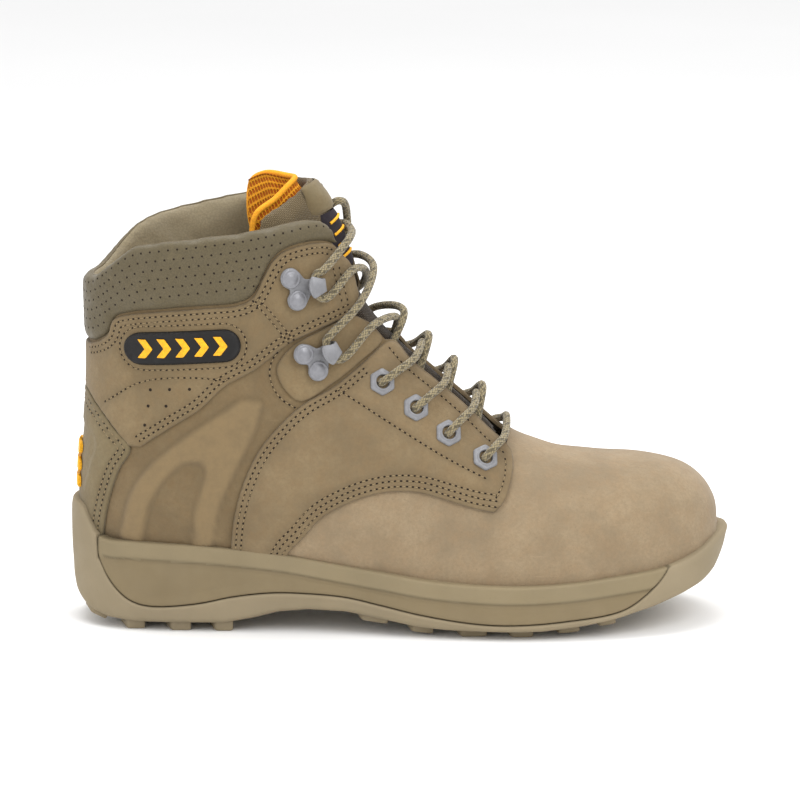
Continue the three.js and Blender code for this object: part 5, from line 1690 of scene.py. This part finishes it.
def outsole(loop, outward, top, root, gap):
    """The outsole's rim all round, its underside and its lugs."""
    parted = (loop[:, 0] > PARTED[0]) & (loop[:, 0] < PARTED[1])
    parting = height_on(smooth(PARTING_LINE[1:], 0.5), loop[:, 0]) - 0.15
    start = np.where(parted, np.minimum(parting, top), top)
    inner = np.where(parted, MIDSOLE_TUCK, gap + UNDER_UPPER)
    foot = loop - outward * 3
    ground = height_on(ROOT_LINE, foot[:, 0])
    edge = np.minimum(2.5, (top - root) / 3)
    rows, moves = [start], [-inner]
    for d in (0.0, 0.25, 0.7, 1.4):
        rows.append(start - d)
        moves.append(rounded(np.full(len(loop), d), 1.3) + OUTSOLE_PROUD * np.where(parted, 1, 0.6))
    reach = root + edge
    for t in np.linspace(0, 1, 16)[1:]:
        z = start - 1.4 + (np.minimum(reach, start - 2) - (start - 1.4)) * t
        rows.append(z)
        moves.append(np.full(len(loop), OUTSOLE_PROUD * (1 - 0.4 * t)))
    low_z, low_move = rows[-1], moves[-1]
    for angle in np.linspace(0, 1, 6)[1:]:
        rows.append(low_z + (ground - low_z) * math.sin(angle * math.pi / 2))
        moves.append(low_move - (low_move + 2.6) * (1 - math.cos(angle * math.pi / 2)))
    rows, moves = np.array(rows), np.array(moves)
    moves[1:] += wall_bulge(rows[1:], top, root) * np.linspace(1, 0.2, len(rows) - 1)[:, None]
    points = wall_points(loop, outward, rows, moves)
    points[-1, :, 2] = height_on(ROOT_LINE, points[-1, :, 0])
    rim = points[-1]
    faces = grid_faces(len(rows), len(loop), True)
    facing = np.zeros_like(points)
    facing[..., :2] = outward
    points = points.reshape(-1, 3)
    wall = facing_out(points, faces, facing.reshape(-1, 3), faces[4 * len(loop):15 * len(loop)])
    bottom, bottom_faces = sole_bottom(rim)
    bottom_faces = facing_out(bottom, bottom_faces, np.tile([0.0, 0, -1], (len(bottom), 1)))
    all_points, all_faces = join_meshes([(points, wall), (bottom, bottom_faces), *tread()])
    piece = make_piece("outsole_rubber", all_points, all_faces, OUTSOLE_LOOK, sharp=38)
    # Painted shade where the outsole's top edge meets the midsole at the parting line.
    groove_shade = np.zeros(len(all_points))
    groove_shade[:2 * len(loop)] = np.concatenate([parted * 1.0, parted * 0.6])
    set_attribute(piece, "groove_shade", groove_shade)
    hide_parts("outsole")


def sole():
    loop, outward = sole_loop()
    top = height_on(smooth(RAND_LINE, 1.0), loop[:, 0])
    root = height_on(ROOT_LINE, loop[:, 0])
    gap = gap_to_upper(loop, outward, top)
    midsole(loop, outward, top, root, gap)
    outsole(loop, outward, top, root, gap)


# ---- Eyelets, hooks and rivets ----
# ring number and fraction of each fitting, then sizes and offsets in millimetres
EYELETS = [[7.68, 0.235], [8.74, 0.225], [9.74, 0.21], [10.79, 0.195]]
HOOKS = [[12.74, 0.22], [15.3, 0.215]]
METAL_BASE = 2.1
METAL_TOP = 3.3
EYELET_FLANGE = 6.6
EYELET_BORE = 3.1
EYELET_BARREL = 3.9
RIVET_PLACES = [[-10.5, 5.2], [-8.6, -5.2]]
HOOK_LOBE = 4.9            # radius of the plate round each rivet
HOOK_LOBE_ANGLES = [[30, 75, 120, 165, 210, 250], [130, 165, 210, 255, 300, 335]]
HOOK_NECK = [[3, -3], [3.6, 0], [3, 3], [0, 3.3], [-3.6, 3.9]]
HOOK_WING = [[-1, 0.6], [1.6, 0.6], [3.2, 0.9], [3.85, 2.2], [3.85, 5.4], [3.2, 6.7], [1.6, 7.3], [-1.5, 7.2],
             [-4.6, 7.0]]


def place_on_surface(u, v):
    """Origin and axes (towards the ridge, up the boot, outwards) of a fitting."""
    origin, ahead, _, normal = (a[0] for a in surface_frame([u], [v]))
    up = unit(ahead - normal * np.dot(ahead, normal))
    ridgeward = unit(np.cross(up, normal))
    if np.dot(ridgeward, surface([u], [0])[0] - origin) < 0:
        ridgeward, up = -ridgeward, -up
    return origin, np.stack([ridgeward, up, normal])


def placed(place, points):
    origin, axes = place
    return origin + np.asarray(points, float) @ axes


def lathe_parts(profile, radius_at=None, steps=36):
    """A profile turned round the z axis: radius, height, and whether the radius follows an outline."""
    angle = turns(steps)
    rings = []
    for radius, height, follow in profile:
        size = radius
        if follow:
            size = radius_at(angle) - (EYELET_FLANGE - radius)
        rings.append(np.stack([size * np.cos(angle), size * np.sin(angle), np.full(steps, height)], 1))
    points = np.vstack(rings)
    return points, grid_faces(len(rings), steps, True)


def hexagon(angle):
    turn = np.mod(angle + math.pi / 6, math.pi / 3) - math.pi / 6
    return np.minimum(EYELET_FLANGE * math.cos(math.pi / 6) / np.cos(turn), EYELET_FLANGE * 0.965)


def eyelet_parts():
    top = METAL_TOP
    profile = [(EYELET_BORE, -2.6, 0), (EYELET_BORE, top - 0.3, 0), (EYELET_BORE + 0.1, top + 0.1, 0),
               (EYELET_BORE + 0.45, top + 0.32, 0), (EYELET_BARREL + 0.15, top + 0.22, 0),
               (EYELET_BARREL + 0.45, top - 0.05, 0), (EYELET_FLANGE - 1.1, top - 0.02, 1),
               (EYELET_FLANGE - 0.55, top - 0.08, 1), (EYELET_FLANGE - 0.15, top - 0.35, 1),
               (EYELET_FLANGE, top - 0.7, 1), (EYELET_FLANGE, METAL_BASE - 0.15, 1),
               (EYELET_BARREL, METAL_BASE - 0.15, 0), (EYELET_BARREL, -2.6, 0), (EYELET_BORE, -2.6, 0)]
    return lathe_parts(profile, hexagon, 48)


def rivet_parts():
    seat = METAL_TOP + 0.1
    profile = [(0.02, -2.8, 0), (1.6, -2.8, 0), (1.6, seat, 0), (4.4, seat, 0), (4.55, seat + 0.3, 0),
               (4.3, seat + 0.62, 0), (3.85, seat + 0.7, 0), (3.45, seat + 0.55, 0), (3.2, seat + 0.6, 0),
               (2.6, seat + 1.05, 0), (1.6, seat + 1.4, 0), (0.7, seat + 1.53, 0), (0.02, seat + 1.55, 0)]
    return lathe_parts(profile, None, 28)


def hook_parts():
    """The riveted plate and the wing that rises from its front and folds back over the lace."""
    lobes = []
    for (x, y), degrees in zip(RIVET_PLACES, HOOK_LOBE_ANGLES):
        angle = np.radians(degrees)
        lobes.append(np.stack([x + HOOK_LOBE * np.cos(angle), y + HOOK_LOBE * np.sin(angle)], 1))
    outline = np.vstack([HOOK_NECK, lobes[0], [[-11.6, 0.1]], lobes[1], [[-1, -3.4]]])
    outline = smooth(outline, 0.8, closed=True)[:-1]
    middle = outline.mean(0)
    away = outline - middle
    size = np.linalg.norm(away, axis=1, keepdims=True)
    rings = []
    for height, inset in ((0.0, 0.0), (0.75, 0.0), (1.05, 0.25), (1.2, 0.75), (1.16, 3.5)):
        rings.append(np.c_[middle + away * (1 - inset / size), np.full(len(outline), METAL_BASE + height)])
    rings.append(np.r_[middle, METAL_BASE + 1.15][None, :])
    count = len(outline)
    points = np.vstack(rings)
    faces = grid_faces(5, count, True)
    faces += [[5 * count, 4 * count + j, 4 * count + (j + 1) % count] for j in range(count)]
    faces += [list(reversed(range(count)))]
    plate = points, facing_out(points, faces, points - np.r_[middle, METAL_BASE + 0.5], faces[:2 * count])
    path = smooth(HOOK_WING, 0.7)
    ahead = unit(np.gradient(path, axis=0))
    normal = np.stack([-ahead[:, 1], ahead[:, 0]], 1)
    share = np.linspace(0, 1, len(path))
    half = 3.1 + 2.3 * ease((share - 0.55) / 0.4)
    end = np.clip((1 - share) * len(path) * 0.7 / 2.6, 0, 1)
    half = half * np.sqrt(np.clip(1 - (1 - end) ** 2, 0.08, 1)) * 0.98
    corners = [(1, 0.3), (0.93, 0.6), (-0.93, 0.6), (-1, 0.3)]
    corners += [(-s, -t) for s, t in corners]
    sections = []
    for (x, z), (nx, nz), width in zip(path, normal, half):
        sections.append([(x + nx * t, s * width, METAL_BASE + z + nz * t) for s, t in corners])
    points = np.array(sections).reshape(-1, 3)
    round_faces = grid_faces(len(path), 8, True)
    faces = round_faces + end_faces(8, len(points))
    wing = points, facing_out(points, faces, outward_of(np.array(sections)), round_faces)
    return join_meshes([plate, wing])


def turned_out(points, faces, start, stop):
    """Faces that look away from the z axis, judged on a run of them."""
    return facing_out(points, faces, points * [1, 1, 0], faces[start:stop])


def hardware():
    eyelet, eyelet_faces = eyelet_parts()
    eyelet_faces = turned_out(eyelet, eyelet_faces, 9 * 48, 10 * 48)
    rivet, rivet_faces = rivet_parts()
    rivet_faces = turned_out(rivet, rivet_faces, 28, 2 * 28)
    hook, hook_faces = hook_parts()

    def facing(place, faces):
        return flipped(faces) if np.linalg.det(place[1]) < 0 else faces

    for side_name, side in SIDES.items():
        for k, (u, v) in enumerate(EYELETS, 1):
            place = place_on_surface(u, side * v)
            piece = make_piece(f"eyelet_metal_{side_name}_{k}", placed(place, eyelet),
                               facing(place, eyelet_faces), PAINTED, sharp=60)
            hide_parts(f"eyelet_{side_name}_{k}")
        for level, (u, v) in zip(("lower", "upper"), HOOKS):
            place = place_on_surface(u, side * v)
            piece = make_piece(f"lace_hook_metal_{side_name}_{level}", placed(place, hook),
                               facing(place, hook_faces), PAINTED, sharp=55)
            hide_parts(f"lace_hook_{side_name}_{level}")
            for r, (x, y) in enumerate(RIVET_PLACES, 1):
                rivet_points = placed(place, rivet + [x, y, 0])
                piece = make_piece(f"hook_rivet_metal_{side_name}_{level}_{r}", rivet_points,
                                   facing(place, rivet_faces), RIVET_LOOK, sharp=60)
                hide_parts(f"hook_rivet_{side_name}_{level}_{r}")


# ---- Lace: held all along by the eyelets and hooks, so it is built where it lies ----
EDGE_FRACTION = [[7.2, 0.14], [7.7, 0.135], [8.5, 0.115], [9.6, 0.105], [10.5, 0.1], [11.1, 0.086], [12, 0.1]]
OVER = 4.5
UNDER = -5.5
LOW_CROSSING = 1.6
HIGH_CROSSING = 6
HOOK_EDGE = 0.105
LACE_RADIUS = 1.85
LACE_SIDES = 16
LACE_STRANDS = 8
BRAID_RELIEF = 0.035      # share of the radius by which the strands stand out
BRAID_LAY = 1.6           # radians that the braid turns in each millimetre
OUTER_TAIL = [
    [15.9, -0.08, 4.6], [15.9, 0, 2], [16.15, 0.04, 0.2], [16.25, 0.056, -3.6], [16.25, 0.074, -7.8],
    [16.15, 0.104, -10], [15.7, 0.14, -10], [15, 0.16, -9.6], [14, 0.165, -7.6], [13, 0.168, -6.4],
    [12.1, 0.19, -5.7], [11.2, 0.24, -5.4], [10.6, 0.26, -5.4],
]
OUTER_AGLET = [[10.5, 0.261, -5.4], [9.9, 0.264, -5.4], [9.1, 0.268, -5.4]]
INNER_TAIL = [
    [16.4, 0.09, 5.6], [16.95, 0.05, 3.4], [17.1, 0.035, 0.4], [17, 0.055, -3.8], [16.95, 0.074, -8],
    [16.85, 0.106, -10], [16.6, 0.15, -10.1], [16, 0.19, -10.1], [15, 0.215, -9.6], [14.2, 0.22, -7.6],
    [13.4, 0.222, -6.4],
]
INNER_AGLET = [[13.28, 0.224, -6.4], [12.9, 0.225, -6.3], [12.5, 0.227, -6.1]]


def on_surface(points):
    p = np.asarray(points, float)
    return offset_points(p[:, 0], p[:, 1], p[:, 2])


def through_eyelet(k, side):
    u, v = EYELETS[k]
    arrive = (u - 0.3, float(height_on(EDGE_FRACTION, u - 0.3)))
    leave = (u + 0.3, 0.85 * float(height_on(EDGE_FRACTION, u + 0.3)))
    steps = [(arrive, 1, OVER), (arrive, 0.4, 5.9), (arrive, 0.05, 4.8), (arrive, -0.04, 2.2),
             (leave, -0.04, -0.9), (leave, 0.03, -3.6), (leave, 0.32, UNDER), (leave, 1, UNDER)]
    return on_surface([[u + (a - u) * t, side * (v + (b - v) * t), offset] for (a, b), t, offset in steps])


def around_hook(k, side):
    u, v = HOOKS[k]
    height = METAL_TOP + 0.3 + 1.92
    turn = [[4.8, -6.4, height], [1.2, -5.2, height], [0, 0, height], [1.2, 5.2, height], [4.8, 6.4, height]]
    path = placed(place_on_surface(u, side * v), turn)
    if path[0, 2] > path[-1, 2]:
        path = path[::-1]
    before, after = on_surface([[ring, side * HOOK_EDGE, OVER + 0.4] for ring in (u - 0.55, u + 0.55)])
    return np.vstack([before, path, after])


def half_lace(start, tail, levels):
    route = []
    for k, (u, _) in enumerate(EYELETS):
        route += [through_eyelet(k, -start if k % 2 else start), on_surface([[u + 0.72, 0, levels[k]]])]
    route += [around_hook(0, start), on_surface([[14, 0, levels[4]]]), around_hook(1, -start)]
    return np.vstack([*route, on_surface(tail)])


def lace_route():
    outer_levels = [HIGH_CROSSING, LOW_CROSSING] * 2 + [HIGH_CROSSING]
    inner_levels = [LOW_CROSSING, HIGH_CROSSING] * 2 + [LOW_CROSSING]
    first = half_lace(SIDES["lateral"], INNER_TAIL, outer_levels)[::-1]
    second = half_lace(SIDES["medial"], OUTER_TAIL, inner_levels)
    return smooth(np.vstack([first, on_surface([[7.38, 0, 3.4]]), second]), 0.8)


def cord_piece(name, line, radius, sides, look):
    """A round cord with the UV map "cloth", cut open along one line so that the map has no jump."""
    angle = np.linspace(0, 2 * math.pi, sides + 1)
    distance = lengths_along(line)
    lay = distance[:, None] * BRAID_LAY
    strands = LACE_STRANDS / 2 * angle
    relief = 1 + BRAID_RELIEF * np.cos(strands + lay) * np.cos(strands - lay)
    points = round_sections(line, radius * relief, angle)
    faces = flipped(grid_faces(len(line), sides + 1))
    points = np.vstack([points, line[:1], line[-1:]])
    last = (len(line) - 1) * (sides + 1)
    for j in range(sides):
        faces.append([len(points) - 2, j, j + 1])
        faces.append([len(points) - 1, last + j + 1, last + j])
    piece = make_piece(name, points, faces, look, sharp=None)
    across = np.concatenate([np.tile(angle / (2 * math.pi) * LACE_STRANDS, len(line)), [0, 0]])
    down = np.concatenate([np.repeat(distance, sides + 1), [0, distance[-1]]])
    set_cloth_map(piece, across, down)
    return piece


def lace():
    route = lace_route()
    piece = cord_piece("lace_braid", route, LACE_RADIUS, LACE_SIDES, LACE_LOOK)
    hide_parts("lace")
    for name, line in (("aglet_outer_tail", OUTER_AGLET), ("aglet_inner_tail", INNER_AGLET)):
        core = smooth(on_surface(line), 0.8)
        radius = 1.72 - 0.25 * np.linspace(0, 1, len(core)) ** 4
        points, faces = tube_parts(core, radius, 18)
        made = make_piece(f"{name}_plastic", points, faces, CLEAR, sharp=50)
        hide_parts(name)


# ---- Badges ----
CHEVRON_X = [-117, -108.5, -100, -91.5, -83]


def side_badge():
    """A black rubber pill with a raised rim, and a row of plain yellow chevrons on it."""
    border = smooth(pill(BADGE_CENTRE, BADGE_HALF, BADGE_TILT), 1.0, closed=True)

    def rim(points):
        d = distance_to(points, border)
        return 0.45 * np.exp(-((d - 1.0) / 0.55) ** 2) - 0.35 * ease((d - 1.6) / 0.6)

    panel = Panel(from_side(border[:-1]), 1.7, 1.9, (), rim, puff=0.0, spacing=1.2, edge=0.55)
    piece = panel.build("side_badge_rubber", BLACK_RUBBER, -1)
    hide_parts("side_badge")
    for k, x in enumerate(CHEVRON_X, 1):
        z = BADGE_CENTRE[1] + BADGE_TILT * (x - BADGE_CENTRE[0])
        shape = [[x - 2.6, z + 4.4], [x + 0.9, z + 4.4], [x + 4.1, z], [x + 0.9, z - 4.4], [x - 2.6, z - 4.4],
                 [x + 0.6, z]]
        outline = resample(np.array(shape + shape[:1], float), 0.7)[:-1]
        mark = Panel(from_side(outline), 3.0, 0.75, puff=0.0, spacing=1.0, edge=0.6)
        piece = mark.build(f"side_badge_chevron_{k}", YELLOW_RUBBER, -1)


HEEL_BARS = [66.5, 74.5, 82.5]
HEEL_BAR_HALF = 0.046      # as a fraction of the ring
HEEL_BAR_SECTION = [(-2.6, 1.6), (-2.8, 2.7), (-2.3, 3.2), (2.3, 3.2), (2.8, 2.7), (2.6, 1.6)]


def heel_badge():
    """Three plain yellow bars, one above the other, on the back of the heel."""
    parts = []
    columns = 25
    share = np.linspace(-1, 1, columns)
    v = 1 + share * HEEL_BAR_HALF
    for level in HEEL_BARS:
        rows = []
        for rise, lift in HEEL_BAR_SECTION:
            heights = level + rise * np.sqrt(1 - 0.8 * np.abs(share) ** 10) - 1.5 * share ** 2
            rings = from_side([[-150, z] for z in heights])[:, 0]
            rows.append(offset_points(rings, v, lift))
        points = np.vstack(rows)
        faces = grid_faces(len(rows), columns)
        starts = [columns * k for k in range(len(rows))]
        ends = [starts, [start + columns - 1 for start in reversed(starts)]]
        away = points - points.mean(0) + [-4, 0, 0]
        parts.append((points, facing_out(points, faces + ends, away, faces)))
    points, faces = join_meshes(parts)
    piece = make_piece("heel_badge_bars", points, faces, YELLOW_RUBBER, sharp=60)
    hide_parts("heel_badge")


# ---- Pin holes, linings and the parts inside ----
def pin_holes(panel, side_name, side):
    uv = from_side(PIN_HOLES)
    places = offset_points(uv[:, 0], uv[:, 1] * side, panel.offset_at(uv))
    normals = surface_frame(uv[:, 0], uv[:, 1] * side)[3]
    points, faces = disc_parts(places, normals, 0.75, 0.02)
    piece = make_piece(f"pin_holes_{side_name}", points, faces, NEEDLE_HOLE, sharp=None)


LINING_OUTER = -4.1
LINING_INNER = -6.5
LINING_FRONT = [[44, 12], [41, 71], [18, 83], [-5, 97], [-28, 113], [-43, 128], [-48, 150], [-48, 184]]
VAMP_LINING_BACK = [[60, 12], [57, 66], [58.5, 86]]


def slab(u, v, outer, inner):
    """A closed layer between two offsets over a grid of rings and fractions: (points, faces)."""
    skins = [offset_points(u, v, outer), offset_points(u, v, inner)]
    rows, columns = u.shape
    count = rows * columns
    points = np.concatenate([skin.reshape(-1, 3) for skin in skins])
    faces = grid_faces(rows, columns)
    faces = facing_out(points, faces, np.vstack([surface_frame(u, v)[3].reshape(-1, 3)] * 2))
    back = [[i + count for i in reversed(f)] for f in faces]
    return points, faces + back + rim_walls(faces, count)


def lining_piece(name, u, v, node):
    points, faces = slab(u, v, LINING_OUTER, LINING_INNER)
    piece = make_piece(name, points, faces, LINING_CLOTH, sharp=60)
    set_cloth_map(piece, np.tile(v.ravel() * 200, 2), np.tile(u.ravel() * 11, 2))
    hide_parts(node)


def linings():
    v = np.linspace(-1, 1, 121)
    last = ring_at(from_side(smooth(VAMP_LINING_BACK, 2)), np.abs(v))
    share = np.linspace(0, 1, 40)[:, None] ** 1.2
    u = 0.15 + share * (last - 0.15)[None, :]
    lining_piece("vamp_lining_cloth", u, np.broadcast_to(v, u.shape), "vamp_lining")
    a = np.linspace(0.34, 0.9999, 70)
    low = ring_at(from_side(smooth(LINING_FRONT, 2)), a)
    high = ring_at(from_side(smooth(COLLAR_SEAM, 1.5)), a) - 0.05
    low, high = np.concatenate([low, low[::-1][1:]]), np.concatenate([high, high[::-1][1:]])
    v = np.concatenate([-a, -2 + a[::-1][1:]])
    share = np.linspace(0, 1, 60)[:, None]
    u = low[None, :] + share * (high - low)[None, :]
    lining_piece("quarter_lining_cloth", u, np.broadcast_to(v, u.shape), "quarter_lining")


def inner_parts():
    """The stiff parts inside keep their CAD shapes and get their own looks. The footbed is drawn anew."""
    looks = {"steel_toe_cap": STEEL, "heel_stiffener": BOARD, "steel_midsole_plate": STEEL,
             "insole_board": BOARD}
    for name, look in looks.items():
        node = frame["nodes"][name]
        node.data.materials.clear()
        node.data.materials.append(look)
    footbed_pad()


FLOOR_LINE = [
    [-160, 37], [-100, 35], [-60, 32], [-20, 26], [20, 21], [60, 19.5], [100, 21], [130, 26], [160, 31],
]
FOOTBED_LIFT = 2.6          # of its underside over the floor line
FOOTBED_THICKNESS = 5.0


def footbed_pad():
    """The removable footbed: a smooth foam slab that follows the floor of the boot, with rounded edges."""
    node = frame["nodes"]["footbed"]
    corners = np.array([tuple(p.co) for p in node.data.vertices]) / MM
    xs = np.linspace(corners[:, 0].min() + 1.2, corners[:, 0].max() - 1.2, 110)
    sections = []
    outline = hull_sides(corners, xs)
    columns = 31
    share = np.linspace(-1, 1, columns)
    for x, (low_y, high_y) in zip(xs, outline):
        base = float(height_on(FLOOR_LINE, x)) + FOOTBED_LIFT
        y = (low_y + high_y) / 2 + share * (high_y - low_y) / 2
        bevel = 1.6 * (1 - np.sqrt(1 - np.clip((np.abs(share) - 0.93) / 0.07, 0, 1) ** 2))
        top = base + FOOTBED_THICKNESS - bevel - 0.5 * np.exp(-((share * 1.6) ** 2))
        along = np.full(columns, x)
        sections.append(np.vstack([np.c_[along, y, top], np.c_[along, y[::-1], np.full(columns, base)]]))
    points = np.vstack(sections)
    faces = grid_faces(len(xs), 2 * columns, True)
    faces = facing_out(points, faces + end_faces(2 * columns, len(points)), outward_of(sections), faces)
    piece = make_piece("footbed_foam", points, faces, FOAM, sharp=60)
    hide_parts("footbed")


def hull_sides(corners, xs):
    """Lowest and highest y of a solid's corners near each x, made convex."""
    sides = []
    for sign in (-1, 1):
        order = np.argsort(corners[:, 0])
        x, y = corners[order, 0], corners[order, 1] * sign
        hull = []
        for p in zip(x, y):
            while len(hull) > 1 and ((hull[-1][0] - hull[-2][0]) * (p[1] - hull[-2][1])
                                     - (hull[-1][1] - hull[-2][1]) * (p[0] - hull[-2][0])) >= 0:
                hull.pop()
            hull.append(p)
        hull = np.array(hull)
        sides.append(np.interp(xs, hull[:, 0], hull[:, 1]) * sign)
    return list(zip(sides[0], sides[1]))


# ---- Floor and light ----
def make_stage():
    size = 4.0
    mesh = bpy.data.meshes.new("floor")
    corners = [(-size, -size, 0), (size, -size, 0), (size, size, 0), (-size, size, 0)]
    mesh.from_pydata(corners, [], [[0, 1, 2, 3]])
    mesh.materials.append(FLOOR_LOOK)
    floor = bpy.data.objects.new("floor", mesh)
    bpy.context.scene.collection.objects.link(floor)


def area_light(name, place, aim, size, power, colour=(1, 1, 1)):
    data = bpy.data.lights.new(name, "AREA")
    data.shape = "RECTANGLE"
    data.size, data.size_y = size
    data.energy = power
    data.color = colour
    light = bpy.data.objects.new(name, data)
    light.location = place
    light.rotation_euler = (Vector(aim) - Vector(place)).to_track_quat("-Z", "Y").to_euler()
    bpy.context.scene.collection.objects.link(light)


def make_light():
    world = bpy.data.worlds.new("studio")
    world.use_nodes = True
    background = world.node_tree.nodes["Background"]
    background.inputs["Color"].default_value = (1, 1, 1, 1)
    background.inputs["Strength"].default_value = 1.0
    bpy.context.scene.world = world
    bpy.context.scene.view_settings.view_transform = "Standard"
    area_light("key", (0.75, -0.9, 1.15), (0.02, 0, 0.09), (0.9, 0.9), 11)
    area_light("top", (-0.1, 0.2, 1.4), (0, 0, 0.08), (1.2, 0.8), 14)
    area_light("fill", (-1.2, -0.9, 0.5), (0, 0, 0.1), (0.9, 0.9), 4)


# ---- Assembly ----
for leftover in [o for o in bpy.data.objects if o.name in ("Cube", "Light", "Camera")]:
    bpy.data.objects.remove(leftover)
vamp()
panels = leather_panels()
collar()
tongue()
tongue_edge_binding()
tongue_trim()
sole()
hardware()
lace()
side_badge()
heel_badge()
for side_name, side in SIDES.items():
    pin_holes(panels["ankle_panel"], side_name, side)
linings()
inner_parts()
make_stage()
make_light()
